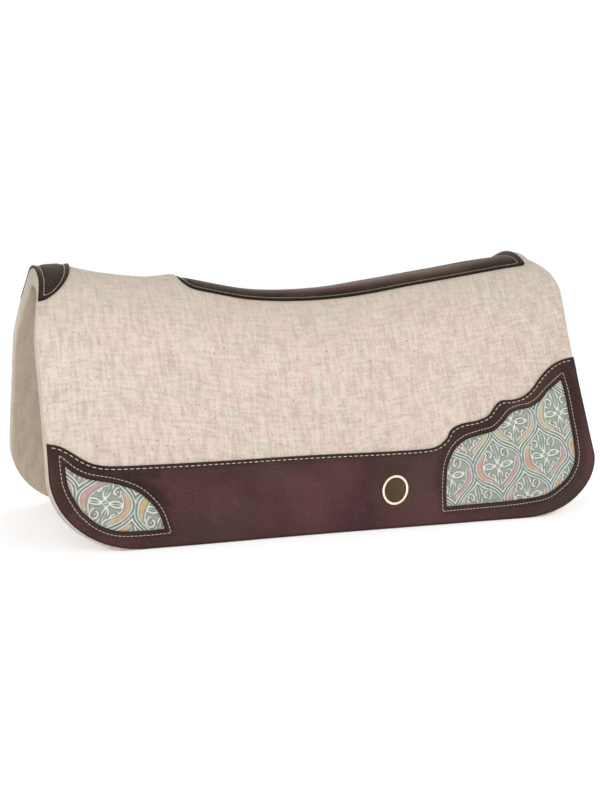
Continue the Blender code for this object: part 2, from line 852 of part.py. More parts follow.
def build_medallions(materials, collection):
    """A bare round medallion and its metal ring on each wear leather."""
    bottom = GAP + WEAR_THICKNESS + GAP
    bore = MEDALLION_RADIUS - MEDALLION_RING_WIDTH
    for side_name, side in SIDES:
        disc_loop = mirrored(circle(bore - GAP), side)
        disc = flat_piece("disc", [disc_loop], bottom, MEDALLION_THICKNESS)
        bend_piece("medallion_" + side_name, disc, materials["medallion"], collection)
        loops = [mirrored(circle(radius), side) for radius in (MEDALLION_RADIUS, bore)]
        ring = flat_piece("ring", loops, bottom, MEDALLION_RING_THICKNESS)
        bend_piece("medallion_ring_" + side_name, ring, materials["brass"], collection)


def build_threads(materials, collection):
    """Every row of sewing thread on the pad."""
    thread = materials["thread"]
    on_wear = GAP + WEAR_THICKNESS + GAP + THREAD_RADIUS
    on_spine = GAP + SPINE_LEATHER_THICKNESS + GAP + THREAD_RADIUS
    under_felt = -FELT_THICKNESS - GAP - THREAD_RADIUS
    for side_name, side in SIDES:
        row = inner_line(wear_top_edge(), EDGE_ROW_INSET)
        line = resample(mirrored(to_pattern(row), side), False)
        thread_row("wear_edge_thread_" + side_name, line, on_wear, thread, collection, False)
        for window_name, window in windows():
            loop = offset_loop(window, WINDOW_ROW_OFFSET)
            line = resample(mirrored(to_pattern(loop), side), True)
            name = window_name + "_inlay_thread_" + side_name
            thread_row(name, line, on_wear, thread, collection, True)
    patch_row = resample(patch_outline(PATCH_ROW_INSET), True)
    thread_row("wither_patch_thread", patch_row, on_spine, thread, collection, True)
    strip_row = resample(strip_outline(STRIP_ROW_INSET, STRIP_ROW_END_INSET), True)
    thread_row("spine_strip_thread", strip_row, on_spine, thread, collection, True)
    thread_row("seam_thread", seam_zigzag(), under_felt, thread, collection, False)


def make_materials():
    return {
        "felt": make_material("wool_felt", (0.72, 0.60, 0.52), 0.95),
        "wear": make_material("wear_leather", (0.070, 0.026, 0.030), 0.45),
        "spine": make_material("spine_leather", (0.035, 0.024, 0.018), 0.45),
        "inlay": make_material("inlay_leather", (0.45, 0.58, 0.53), 0.50),
        "medallion": make_material("medallion_leather", (0.080, 0.050, 0.020), 0.50),
        "brass": make_material("brass", (0.78, 0.62, 0.36), 0.30, 1.0),
        "thread": make_material("sewing_thread", (0.72, 0.58, 0.44), 0.70),
    }


def clear_scene():
    for obj in list(bpy.data.objects):
        bpy.data.objects.remove(obj)


ROWS = bend_rows()
COLUMNS = bend_columns()


def main():
    clear_scene()
    collection = bpy.data.collections.new(COLLECTION_NAME)
    bpy.context.scene.collection.children.link(collection)
    materials = make_materials()
    build_felt(materials, collection)
    build_wear_leather(materials, collection)
    build_inlays(materials, collection)
    build_spine_leathers(materials, collection)
    build_medallions(materials, collection)
    build_threads(materials, collection)


main()
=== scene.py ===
"""Looks of the western saddle pad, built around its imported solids.

Every felt and leather piece is cut flat from the same pattern as in the part's
source, finely divided, and bent over the same arch. Pattern coordinates are x
from the front edge, u down the side from the spine (u < 0 on the left, -Y) and
t above the felt's outer face. Metres.
"""

import math

import bmesh
import bpy
import numpy as np
from mathutils import Euler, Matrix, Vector
from mathutils.geometry import delaunay_2d_cdt
from mathutils.kdtree import KDTree


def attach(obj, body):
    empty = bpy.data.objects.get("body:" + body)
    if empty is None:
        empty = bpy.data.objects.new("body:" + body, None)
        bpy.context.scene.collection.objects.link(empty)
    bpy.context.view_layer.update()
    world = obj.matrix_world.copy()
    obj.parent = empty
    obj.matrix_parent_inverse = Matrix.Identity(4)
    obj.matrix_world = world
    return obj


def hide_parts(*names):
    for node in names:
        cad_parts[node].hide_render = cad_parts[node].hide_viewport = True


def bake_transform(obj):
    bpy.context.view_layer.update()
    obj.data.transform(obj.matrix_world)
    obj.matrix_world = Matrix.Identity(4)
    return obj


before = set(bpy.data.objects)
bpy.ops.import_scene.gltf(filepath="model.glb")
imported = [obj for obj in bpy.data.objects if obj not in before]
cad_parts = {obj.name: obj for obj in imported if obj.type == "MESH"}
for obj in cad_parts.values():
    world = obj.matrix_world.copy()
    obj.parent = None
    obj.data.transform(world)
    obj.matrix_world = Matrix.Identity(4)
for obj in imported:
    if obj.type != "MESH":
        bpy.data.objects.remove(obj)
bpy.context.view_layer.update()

# Arch and pattern, as in the part's source
PAD_LENGTH = 0.787
CROWN_RADIUS = 0.086
SIDE_SLOPE = math.radians(34.0)
SIDE_BOW_RADIUS = 0.526
SPINE_HEIGHTS = (0.3525, 0.3560, 0.3465, 0.3287, 0.3290, 0.3509, 0.3722, 0.3840)
SPINE_SHARES = (0.0, 0.089, 0.254, 0.394, 0.534, 0.724, 0.889, 1.0)
FELT = 0.025
WEAR = 0.0026
INLAY = 0.0016
SPINE_LEATHER = 0.0030
MEDALLION = 0.0010
MEDALLION_RING = 0.0014
GAP = 0.0003
SEAM_GAP = 0.0004
LEATHER_EDGE_INSET = 0.0005
LEATHER_FLOOR_GAP = 0.0008
FRONT_TOP_SETBACK = 0.0125
FRONT_SETBACK_START = 0.045
FRONT_SETBACK_LENGTH = 0.100
FRONT_CORNER_LENGTH = 0.117
FRONT_CORNER_HEIGHT = 0.097
REAR_CORNER_LENGTH = 0.119
REAR_CORNER_HEIGHT = 0.084
REAR_NOTCH_DEPTH = 0.0305
REAR_NOTCH_HALF_WIDTH = 0.0455
REAR_NOTCH_DROP = 0.110
REAR_EDGE_BOW = 0.0105
FLOOR_TRIM = 0.003
OPENING_START = 0.0605
OPENING_END = 0.2045
OPENING_HALF_WIDTH = 0.040
OPENING_SQUARENESS = 2.4
SEAM_SINK = 0.008
SEAM_SINK_REACH = 0.050
SEAM_SINK_FRONT_RAMP = 0.005
SEAM_SINK_REAR_RAMP = 0.015
SEAM_SINK_REAR_INSET = 0.0135
PATCH_LENGTH = 0.047
PATCH_HALF_WIDTH = 0.090
STRIP_SETBACK = 0.0030
STRIP_END_INSET = 0.0130
STRIP_HALF_WIDTH = 0.0595
STRIP_FRONT_CORNER = 0.022
STRIP_REAR_CORNER = 0.003
WEAR_TOP_FRONT = (
    (0.000, 0.1355), (0.016, 0.1320), (0.031, 0.1235), (0.046, 0.1135),
    (0.062, 0.1073), (0.086, 0.1045), (0.150, 0.1035),
)
WEAR_TOP_MIDDLE = 0.1030
WEAR_TOP_REAR = (
    (0.327, 0.1025), (0.267, 0.1035), (0.247, 0.1075), (0.234, 0.1160),
    (0.225, 0.1280), (0.209, 0.1350), (0.185, 0.1385), (0.165, 0.1450),
    (0.154, 0.1560), (0.142, 0.1645), (0.123, 0.1655), (0.105, 0.1700),
    (0.089, 0.1800), (0.072, 0.1960), (0.053, 0.2100), (0.033, 0.2190),
    (0.011, 0.2230),
)
FRONT_WINDOW_TOP = (
    (0.0210, 0.1080), (0.0305, 0.0998), (0.0450, 0.0922), (0.0630, 0.0877),
    (0.0810, 0.0838), (0.0990, 0.0775), (0.1125, 0.0702), (0.1260, 0.0579),
    (0.1365, 0.0426), (0.1425, 0.0240),
)
FRONT_WINDOW_BOTTOM = (
    (0.1425, 0.0240), (0.1245, 0.0233), (0.0965, 0.0238), (0.0800, 0.0260),
    (0.0645, 0.0317), (0.0515, 0.0405), (0.0400, 0.0519), (0.0320, 0.0639),
    (0.0255, 0.0774), (0.0222, 0.0900), (0.0210, 0.1080),
)
REAR_WINDOW_TOP = (
    (0.2435, 0.0243), (0.2425, 0.0475), (0.2385, 0.0741), (0.2325, 0.0881),
    (0.2220, 0.1023), (0.2055, 0.1129), (0.1865, 0.1180), (0.1675, 0.1217),
    (0.1580, 0.1247), (0.1430, 0.1350), (0.1300, 0.1465), (0.1150, 0.1515),
    (0.0980, 0.1540), (0.0805, 0.1620), (0.0635, 0.1758), (0.0385, 0.1920),
)
REAR_WINDOW_BOTTOM = (
    (0.0385, 0.1920), (0.0370, 0.1803), (0.0360, 0.1599), (0.0345, 0.1321),
    (0.0325, 0.1049), (0.0325, 0.0839), (0.0370, 0.0690), (0.0495, 0.0522),
    (0.0730, 0.0365), (0.0925, 0.0300), (0.1370, 0.0263), (0.1835, 0.0252),
    (0.2435, 0.0243),
)
INLAY_FLANGE = 0.009
MEDALLION_SETBACK = 0.320
MEDALLION_HEIGHT = 0.051
MEDALLION_RADIUS = 0.0195
MEDALLION_RING_WIDTH = 0.0035
EDGE_ROW_INSET = 0.0040
WINDOW_ROW_OFFSET = 0.0060
PATCH_ROW_INSET = 0.0070
STRIP_ROW_INSET = 0.0045
STRIP_ROW_END_INSET = 0.0100
SEAM_ROW_PITCH = 0.007
SEAM_ROW_HALF_WIDTH = 0.006
SEAM_ROW_MARGIN = 0.012

# Sizes that only the looks need
THREAD = 0.00062
MITRE_LIMIT = 0.42
FELT_ROUNDING = (0.0026, 0.0030)
WEAR_ROUNDING = (0.0009, 0.0004)
SPINE_LEATHER_ROUNDING = 0.0011
SEAT_REACH = 0.0175
SEAT_RAMP = 0.005
UNEVENNESS = 0.00045
SMOOTH_SPINE = 0.05
DRAWN_STEP = 0.003
DRAWN_MARGIN = 0.02
LINE_CLEARANCE = 0.0005
LINE_STEP = 0.0025
GROOVE_STEP = 0.001
STITCH_STEP = 0.0008
PLAIN_BORDER = 0.009
LOW_BORDER = 0.008
LOW_BORDER_HEIGHT = 0.05
INLAY_SINK = 0.00005
INLAY_DOME = 0.0007
INLAY_DOME_REACH = 0.012
RELIEF_FADE = 0.0016
GROOVE_LINES = (-0.0016, -0.0008, 0.0, 0.0008, 0.0016)
WEAR_GROOVE = (0.0007, 0.0016)
TOOLED_LINE_OFFSET = 0.0034
STITCH_SINK = 0.0007
RING_CROWN = 0.0010
# Each flat mesh: rings of points inside its edges, spacing along them, spacing inside
MESHES = {
    "felt": ((0.0004, 0.0013, 0.0028), 0.0040, 0.0052),
    "wear": ((0.00012, 0.0004, 0.0009), 0.0026, 0.0050),
    "wither_patch": ((0.00015, 0.0005, 0.0011), 0.0022, 0.0034),
    "spine_strip": ((0.00015, 0.0005, 0.0011), 0.0024, 0.0034),
    "inlay": ((0.0003,), 0.0020, 0.00083),
}

CROWN_ARC = CROWN_RADIUS * (math.pi / 2.0 - SIDE_SLOPE)
SHOULDER_DROP = CROWN_RADIUS * (1.0 - math.sin(SIDE_SLOPE))
SHOULDER_HALF_WIDTH = CROWN_RADIUS * math.cos(SIDE_SLOPE)
HALF_LENGTH = PAD_LENGTH / 2.0
SEAM_EDGE = SEAM_GAP / 2.0
SEAM_END = PAD_LENGTH - REAR_NOTCH_DEPTH
SINK_END = SEAM_END - SEAM_SINK_REAR_INSET
SIDES = (("left", -1.0), ("right", 1.0))
INLAYS = ("front", "rear")
random = np.random.default_rng(7)


def smoothstep(value):
    value = np.clip(value, 0.0, 1.0)
    return value * value * (3.0 - 2.0 * value)


def spine_height(x):
    """Height of the felt's spine line, with x measured from the front edge."""
    knots = np.array(SPINE_SHARES)
    values = np.array(SPINE_HEIGHTS)
    low = np.r_[0, :len(knots) - 1]
    high = np.r_[1:len(knots), len(knots) - 1]
    slopes = (values[high] - values[low]) / (knots[high] - knots[low])
    share = np.clip(np.asarray(x, float) / PAD_LENGTH, 0.0, 1.0)
    i = np.clip(np.searchsorted(knots, share) - 1, 0, len(knots) - 2)
    span = knots[i + 1] - knots[i]
    s = (share - knots[i]) / span
    return (
        (1.0 + 2.0 * s) * (1.0 - s) ** 2 * values[i]
        + s * (1.0 - s) ** 2 * span * slopes[i]
        + s * s * (3.0 - 2.0 * s) * values[i + 1]
        + s * s * (s - 1.0) * span * slopes[i + 1]
    )


def drop_to(x, height):
    """Pattern distance from the spine down to a height on the flap."""
    return spine_height(x) - SHOULDER_DROP - height + CROWN_ARC


def seam_sink(x, p):
    """How far the sewn seam draws the outer face in."""
    front = smoothstep((x - OPENING_END) / SEAM_SINK_FRONT_RAMP)
    rear = smoothstep((SINK_END - x) / SEAM_SINK_REAR_RAMP)
    across = np.cos(math.pi / 2.0 * np.minimum(p / SEAM_SINK_REACH, 1.0)) ** 2
    return SEAM_SINK * front * rear * across


def drape(x, u, t):
    """World positions of pattern points (x, u) at height t over the felt."""
    x, u, t = np.broadcast_arrays(*(np.asarray(v, float) for v in (x, u, t)))
    p = np.abs(u)
    top = spine_height(x)
    angle = np.minimum(p, CROWN_ARC) / CROWN_RADIUS
    e = np.maximum(p - CROWN_ARC, 0.0)
    slope = math.tan(SIDE_SLOPE) - e / SIDE_BOW_RADIUS
    size = np.hypot(1.0, slope)
    spread = e * math.tan(SIDE_SLOPE) - e * e / (2.0 * SIDE_BOW_RADIUS)
    crown = p <= CROWN_ARC
    half = np.where(crown, CROWN_RADIUS * np.sin(angle), SHOULDER_HALF_WIDTH + spread)
    fall = np.where(crown, CROWN_RADIUS * (1.0 - np.cos(angle)), SHOULDER_DROP + e)
    out = np.where(crown, np.sin(angle), 1.0 / size)
    up = np.where(crown, np.cos(angle), slope / size)
    pressed = np.clip(1.0 + np.minimum(t, 0.0) / FELT, 0.0, 1.0)
    t = t - seam_sink(x, p) * pressed
    y = np.where(u < 0.0, -1.0, 1.0) * (half + t * out)
    return np.stack([x - HALF_LENGTH, y, top - fall + t * up], axis=-1)


def front_edge(p):
    s = smoothstep((p - FRONT_SETBACK_START) / FRONT_SETBACK_LENGTH)
    return FRONT_TOP_SETBACK * (1.0 - s)


def rear_edge(p):
    wide = REAR_NOTCH_DROP - REAR_NOTCH_HALF_WIDTH
    rise = np.sin(math.pi / 2.0 * np.clip((p - REAR_NOTCH_HALF_WIDTH) / wide, 0.0, 1.0))
    corner = drop_to(PAD_LENGTH, REAR_CORNER_HEIGHT)
    s = np.clip((p - REAR_NOTCH_DROP) / (corner - REAR_NOTCH_DROP), 0.0, 1.0)
    bow = REAR_EDGE_BOW * 4.0 * s * (1.0 - s)
    return np.where(p < REAR_NOTCH_DROP, SEAM_END + REAR_NOTCH_DEPTH * rise, PAD_LENGTH - bow)


def from_rear(points):
    return [(PAD_LENGTH - x, height) for x, height in points]


def to_pattern(line):
    """Turn (x, height above floor) points into pattern (x, u) points."""
    line = np.array(line, float)
    return np.c_[line[:, 0], drop_to(line[:, 0], line[:, 1])]


def smooth_line(points, steps):
    points = np.array(points, float)
    last = len(points) - 1
    result = []
    for i in range(last):
        a, b = points[max(i - 1, 0)], points[i]
        c, d = points[i + 1], points[min(i + 2, last)]
        for k in range(steps):
            s = k / steps
            result.append(0.5 * (
                2.0 * b + (c - a) * s + (2.0 * a - 5.0 * b + 4.0 * c - d) * s * s
                + (3.0 * b - a - 3.0 * c + d) * s ** 3
            ))
    result.append(points[last])
    return np.array(result)


def joined_loop(sides, steps):
    """Closed line of smooth sides that meet at sharp corners."""
    return np.vstack([smooth_line(side, steps)[:-1] for side in sides])


def signed_area(loop):
    after = np.roll(loop, -1, axis=0)
    return float(np.sum(loop[:, 0] * after[:, 1] - after[:, 0] * loop[:, 1]) / 2.0)


def unit(vectors):
    return vectors / np.maximum(np.linalg.norm(vectors, axis=-1, keepdims=True), 1e-12)


def right_of(ways):
    return np.c_[ways[:, 1], -ways[:, 0]]


def offset_loop(loop, distance):
    """Loop moved outwards by a distance."""
    before = unit(loop - np.roll(loop, 1, axis=0))
    after = unit(np.roll(loop, -1, axis=0) - loop)
    sign = 1.0 if signed_area(loop) > 0.0 else -1.0
    normal = unit(right_of(before + after)) * sign
    turn = np.maximum(np.sum(normal * right_of(after) * sign, axis=1), MITRE_LIMIT)
    return loop + normal * (distance / turn)[:, None]


def offset_line(line, distance):
    """Open line moved to its right by a distance."""
    return line + right_of(unit(np.gradient(line, axis=0))) * distance


def resample(line, step, closed=True, corner=math.radians(25.0)):
    """Points at an even spacing along a line, its corners kept."""
    points = np.vstack([line, line[:1]]) if closed else np.array(line)
    keep = np.r_[True, np.linalg.norm(np.diff(points, axis=0), axis=1) > 1e-7]
    points = points[keep]
    way = np.diff(points, axis=0)
    angle = np.arctan2(way[:, 1], way[:, 0])
    turn = np.abs((np.diff(angle) + math.pi) % (2.0 * math.pi) - math.pi)
    stops = [0] + [i + 1 for i in range(len(turn)) if turn[i] > corner] + [len(points) - 1]
    result = []
    for a, b in zip(stops, stops[1:]):
        part = points[a:b + 1]
        lengths = np.r_[0.0, np.cumsum(np.linalg.norm(np.diff(part, axis=0), axis=1))]
        count = max(1, round(lengths[-1] / step))
        wanted = np.linspace(0.0, lengths[-1], count + 1)[:-1]
        result += list(zip(*(np.interp(wanted, lengths, part[:, k]) for k in (0, 1))))
    if not closed:
        result.append(tuple(points[-1]))
    return np.array(result)


def batches(points, size=2000):
    """Slices that keep the arrays of all points against all edges small."""
    return [slice(i, i + size) for i in range(0, len(points), size)]


def distance_to(points, line, closed=True):
    """Shortest distance from each point to a line."""
    a = np.asarray(line, float)
    b = np.roll(a, -1, axis=0)
    if not closed:
        a, b = a[:-1], b[:-1]
    way = b - a
    size = np.maximum(np.sum(way * way, axis=1), 1e-18)
    result = np.empty(len(points))
    for some in batches(points):
        part = points[some, None, :] - a
        s = np.clip(np.sum(part * way, axis=2) / size, 0.0, 1.0)
        gap = part - s[:, :, None] * way
        result[some] = np.sqrt(np.min(np.sum(gap * gap, axis=2), axis=1))
    return result


def is_inside(points, loops):
    """Whether each point is inside the first loop and outside the others."""
    result = np.zeros(len(points), bool)
    for loop in loops:
        a, b = loop, np.roll(loop, -1, axis=0)
        rise = np.where(b[:, 1] == a[:, 1], 1.0, b[:, 1] - a[:, 1])
        for some in batches(points):
            x, y = points[some, 0, None], points[some, 1, None]
            spans = (a[:, 1] > y) != (b[:, 1] > y)
            at = a[:, 0] + (y - a[:, 1]) * (b[:, 0] - a[:, 0]) / rise
            result[some] ^= np.sum(spans & (x < at), axis=1) % 2 == 1
    return result


def opening_edge():
    middle = (OPENING_START + OPENING_END) / 2.0
    half = (OPENING_END - OPENING_START) / 2.0
    power = 2.0 / OPENING_SQUARENESS
    angle = math.pi * (1.0 - np.arange(1, 120) / 120.0)
    x = middle + half * np.sign(np.cos(angle)) * np.abs(np.cos(angle)) ** power
    return np.c_[x, np.maximum(OPENING_HALF_WIDTH * np.sin(angle) ** power, SEAM_EDGE)]


def lower_outline(height, inset):
    """Rear edge, rear corner, bottom, front corner and front edge, in pattern points."""
    angle = np.linspace(0.0, math.pi / 2.0, 50)[1:]
    below = (
        (PAD_LENGTH - inset - (REAR_CORNER_LENGTH - inset) * (1.0 - np.cos(angle)),
         REAR_CORNER_HEIGHT - (REAR_CORNER_HEIGHT - height) * np.sin(angle)),
        (np.linspace(PAD_LENGTH - REAR_CORNER_LENGTH, FRONT_CORNER_LENGTH, 180)[1:], height),
        (FRONT_CORNER_LENGTH - (FRONT_CORNER_LENGTH - inset) * np.sin(angle),
         FRONT_CORNER_HEIGHT - (FRONT_CORNER_HEIGHT - height) * np.cos(angle)),
    )
    down = np.linspace(0.0, drop_to(PAD_LENGTH, REAR_CORNER_HEIGHT), 160)[1:]
    up = np.linspace(drop_to(0.0, FRONT_CORNER_HEIGHT), SEAM_EDGE, 120)[1:]
    return np.vstack([
        np.c_[rear_edge(down) - inset, down],
        *(np.c_[x, drop_to(x, z)] for x, z in below),
        np.c_[front_edge(up) + inset, up],
    ])


def felt_outline():
    seam = np.vstack([
        [(OPENING_START, SEAM_EDGE)], opening_edge(),
        [(OPENING_END, SEAM_EDGE), (SEAM_END, SEAM_EDGE)],
    ])
    return np.vstack([seam, lower_outline(-FLOOR_TRIM, 0.0)])


def wear_top_edge():
    rear = from_rear(WEAR_TOP_REAR)
    start = WEAR_TOP_FRONT[-1][0]
    third = (rear[0][0] - start) / 3.0
    middle = [(start + third, WEAR_TOP_MIDDLE), (start + 2.0 * third, WEAR_TOP_MIDDLE)]
    return smooth_line(list(WEAR_TOP_FRONT) + middle + rear, 12)


def wear_outline():
    top = to_pattern(wear_top_edge())
    top[0, 0] = front_edge(top[0, 1]) + LEATHER_EDGE_INSET
    top[-1, 0] = rear_edge(top[-1, 1]) - LEATHER_EDGE_INSET
    border = lower_outline(LEATHER_FLOOR_GAP, LEATHER_EDGE_INSET)
    end = np.where(border[:, 0] > HALF_LENGTH, top[-1, 1], top[0, 1])
    return np.vstack([top, border[border[:, 1] > end + 0.001]])


def window(name):
    if name == "front":
        return joined_loop((FRONT_WINDOW_TOP, FRONT_WINDOW_BOTTOM), 8)
    return joined_loop((from_rear(REAR_WINDOW_TOP), from_rear(REAR_WINDOW_BOTTOM)), 8)


def patch_outline(inset):
    """Wither patch: along the front edge, and back over the spine in an arc."""
    half = PATCH_HALF_WIDTH - inset
    angle = np.linspace(0.0, math.pi, 121)[1:-1]
    u = np.r_[np.linspace(-half, half, 121), half * np.cos(angle)]
    reach = (PATCH_LENGTH - 2.0 * inset) * np.r_[np.zeros(121), np.sin(angle)]
    return np.c_[front_edge(np.abs(u)) + LEATHER_EDGE_INSET + inset + reach, u]


def strip_outline(inset, rear_inset):
    """Spine strip, with wide round corners in front and small ones at the rear."""
    front = OPENING_END + STRIP_SETBACK + inset
    rear = SEAM_END - STRIP_END_INSET - rear_inset
    half = STRIP_HALF_WIDTH - inset
    angle = np.linspace(0.0, math.pi / 2.0, 24)
    corner = np.c_[1.0 - np.cos(angle), np.sin(angle) - 1.0]
    right = np.vstack([
        [(front, 0.0)],
        (front, half) + (STRIP_FRONT_CORNER - inset) * corner,
        ((rear, half) + STRIP_REAR_CORNER * corner * (-1.0, 1.0))[::-1],
        [(rear, 0.0)],
    ])
    return np.vstack([right, right[1:-1][::-1] * (1.0, -1.0)])


def edge_row():
    """The stitch row under the top edge of the wear leather, in pattern points."""
    line = wear_top_edge()
    row = offset_line(line, EDGE_ROW_INSET)
    low, high = line[0, 0] + EDGE_ROW_INSET, line[-1, 0] - EDGE_ROW_INSET
    return to_pattern(row[(row[:, 0] >= low) & (row[:, 0] <= high)])


def window_row(name):
    return to_pattern(offset_loop(window(name), WINDOW_ROW_OFFSET))


PATCH_ROW = patch_outline(PATCH_ROW_INSET)
STRIP_ROW = strip_outline(STRIP_ROW_INSET, STRIP_ROW_END_INSET)
# Where stitching draws felt and leather down: line, closed, depth, reach
DRAWN = (
    (edge_row(), False, 0.0009, 0.0060),
    (window_row("front"), True, 0.0006, 0.0045),
    (window_row("rear"), True, 0.0006, 0.0045),
    (PATCH_ROW, True, 0.0018, 0.0042),
    (STRIP_ROW, True, 0.0009, 0.0042),
)
DRAWN = [(resample(line, DRAWN_STEP, closed), closed, *sizes) for line, closed, *sizes in DRAWN]


def lie(x, u):
    """Height of the felt's outer face: a soft unevenness, drawn down at stitch rows."""
    p = np.abs(u)
    phase = np.where(u < 0.0, 1.7, 0.0)
    wave = np.sin(31.0 * x + 9.0 * p + phase) * np.sin(23.0 * p - 7.0 * x + 2.1 * phase)
    wave += 0.6 * np.sin(67.0 * x - 31.0 * p + 0.7 + phase) * np.sin(49.0 * p + 0.4)
    result = UNEVENNESS * wave * smoothstep(p / SMOOTH_SPINE)
    points = np.c_[x, p]
    for line, closed, depth, reach in DRAWN:
        near = (points > line.min(axis=0) - DRAWN_MARGIN).all(axis=1)
        near &= (points < line.max(axis=0) + DRAWN_MARGIN).all(axis=1)
        if near.any():
            d = distance_to(points[near], line, closed)
            result[near] -= depth * np.exp(-(d / reach) ** 2)
    return result


def flat_mesh(kind, loops, extra=()):
    """Triangles inside an outline and outside its holes, with finer rings along all edges.

    Lines in extra give the mesh more points of their own.
    """
    rings, edge_step, step = MESHES[kind]
    clearance = step * 0.45
    rims = [resample(loop, edge_step) for loop in loops]
    rims = [r if (signed_area(r) > 0.0) == (k == 0) else r[::-1] for k, r in enumerate(rims)]

    def from_rims(places):
        return np.min([distance_to(places, rim) for rim in rims], axis=0)

    def clear_of_rims(places, gap):
        places = places[is_inside(places, rims)]
        return places[from_rims(places) > gap]

    near = []
    for k, rim in enumerate(rims):
        for inset in rings:
            near.append(clear_of_rims(offset_loop(rim, inset if k else -inset), 0.9 * inset))
    for line in extra:
        near.append(clear_of_rims(line, max(rings) + LINE_CLEARANCE))
    low, high = rims[0].min(axis=0), rims[0].max(axis=0)
    rows = np.arange(low[1], high[1], step * 0.866)
    columns = np.arange(low[0], high[0], step)
    grid = np.array([(x + (i % 2) * step / 2.0, u) for i, u in enumerate(rows) for x in columns])
    grid = clear_of_rims(grid, max(rings) + clearance)
    if extra:
        lines = np.vstack(near[-len(extra):])
        tree = KDTree(len(lines))
        for i, (x, u) in enumerate(lines):
            tree.insert((x, u, 0.0), i)
        tree.balance()
        grid = grid[[tree.find((x, u, 0.0))[2] > clearance for x, u in grid]]
    points = np.vstack(rims + near + [grid])
    starts = np.cumsum([0] + [len(rim) for rim in rims]).tolist()
    spans = list(zip(starts, starts[1:]))
    edges = []
    for start, end in spans:
        edges += [(i, i + 1) for i in range(start, end - 1)] + [(end - 1, start)]
    cut = delaunay_2d_cdt([Vector(p) for p in points], edges, [], 0, 1e-7)
    coords = np.array([tuple(v) for v in cut[0]])
    triangles = np.array([f for f in cut[2] if len(f) == 3])
    triangles = triangles[is_inside(coords[triangles].mean(axis=1), rims)]
    where = {origin: i for i, origins in enumerate(cut[3]) for origin in origins}
    indices = [np.array([where[i] for i in range(start, end)]) for start, end in spans]
    edge = from_rims(coords)
    edge[np.concatenate(indices)] = 0.0
    return {"points": coords, "triangles": triangles, "rims": indices, "edge": edge}


def rounded(edge, radius):
    """How far a rounded edge falls below its face at a distance from the edge."""
    s = 1.0 - np.clip(edge / radius, 0.0, 1.0)
    return radius * (1.0 - np.sqrt(np.maximum(1.0 - s * s, 0.0)))


def new_object(name, data):
    obj = bpy.data.objects.new(name, data)
    bpy.context.scene.collection.objects.link(obj)
    return obj


def new_mesh(name, vertices, faces, attributes):
    """Object whose points carry attributes of one, three or four numbers."""
    mesh = bpy.data.meshes.new(name)
    mesh.from_pydata(vertices.tolist(), [], faces)
    kinds = {1: ("FLOAT", "value"), 3: ("FLOAT_VECTOR", "vector"), 4: ("FLOAT_COLOR", "color")}
    for key, values in attributes.items():
        values = np.asarray(values, np.float32).reshape(len(vertices), -1)
        kind, field = kinds[values.shape[1]]
        mesh.attributes.new(key, kind, "POINT").data.foreach_set(field, values.ravel())
    mesh.shade_smooth()
    return new_object(name, mesh)


def solid(name, flat, top, bottom, sign=1.0, walls=1, tint=None):
    """Closed piece between two heights over a flat mesh, bent over the arch."""
    count = len(flat["points"])
    x, u = flat["points"][:, 0], flat["points"][:, 1] * sign
    attributes = {
        "flat": np.vstack([np.c_[x, u, top], np.c_[x, u, bottom]]),
        "edge": np.r_[flat["edge"], flat["edge"]],
    }
    if tint is not None:
        attributes["tint"] = np.vstack([tint, tint])
    faces = flat["triangles"].tolist() + (flat["triangles"][:, ::-1] + count).tolist()
    for rim in flat["rims"]:
        rows = [rim + count]
        for k in range(1, walls):
            rows.append(len(attributes["flat"]) + np.arange(len(rim)))
            for key, values in attributes.items():
                level = values[rim + count] * (1.0 - k / walls) + values[rim] * (k / walls)
                attributes[key] = np.concatenate([values, level])
        rows.append(rim)
        for lower, upper in zip(rows, rows[1:]):
            after = np.roll(np.arange(len(rim)), -1)
            faces += np.c_[lower, lower[after], upper[after], upper].tolist()
    if sign < 0.0:
        faces = [face[::-1] for face in faces]
    return new_mesh(name, drape(*attributes["flat"].T), faces, attributes)


def node(tree, kind, inputs=(), **settings):
    """New shader node. inputs are (socket, value or output) pairs."""
    made = tree.nodes.new(kind)
    for key, value in settings.items():
        setattr(made, key, value)
    for socket, value in inputs:
        if isinstance(value, bpy.types.NodeSocket):
            tree.links.new(value, made.inputs[socket])
        else:
            made.inputs[socket].default_value = value
    return made


def attribute(tree, name, output="Vector"):
    return node(tree, "ShaderNodeAttribute", attribute_name=name).outputs[output]


def spread(tree, value, low, high, to_low=0.0, to_high=1.0):
    """Value between low and high brought to another range, and kept in it."""
    return node(tree, "ShaderNodeMapRange", [
        ("Value", value), ("From Min", low), ("From Max", high),
        ("To Min", to_low), ("To Max", to_high),
    ]).outputs["Result"]


def blend_colours(tree, share, a, b):
    """Mix of two colours, each an output or an 8-bit screen colour."""
    a, b = (v if isinstance(v, bpy.types.NodeSocket) else (*srgb(*v), 1.0) for v in (a, b))
    return node(tree, "ShaderNodeMix", [(0, share), (6, a), (7, b)], data_type="RGBA").outputs[2]


def calculate(tree, operation, a, b=0.0):
    return node(tree, "ShaderNodeMath", [(0, a), (1, b)], operation=operation).outputs[0]


def srgb(red, green, blue):
    """Linear colour of an 8-bit screen colour."""
    values = [v / 255.0 for v in (red, green, blue)]
    return tuple(v / 12.92 if v <= 0.04045 else ((v + 0.055) / 1.055) ** 2.4 for v in values)


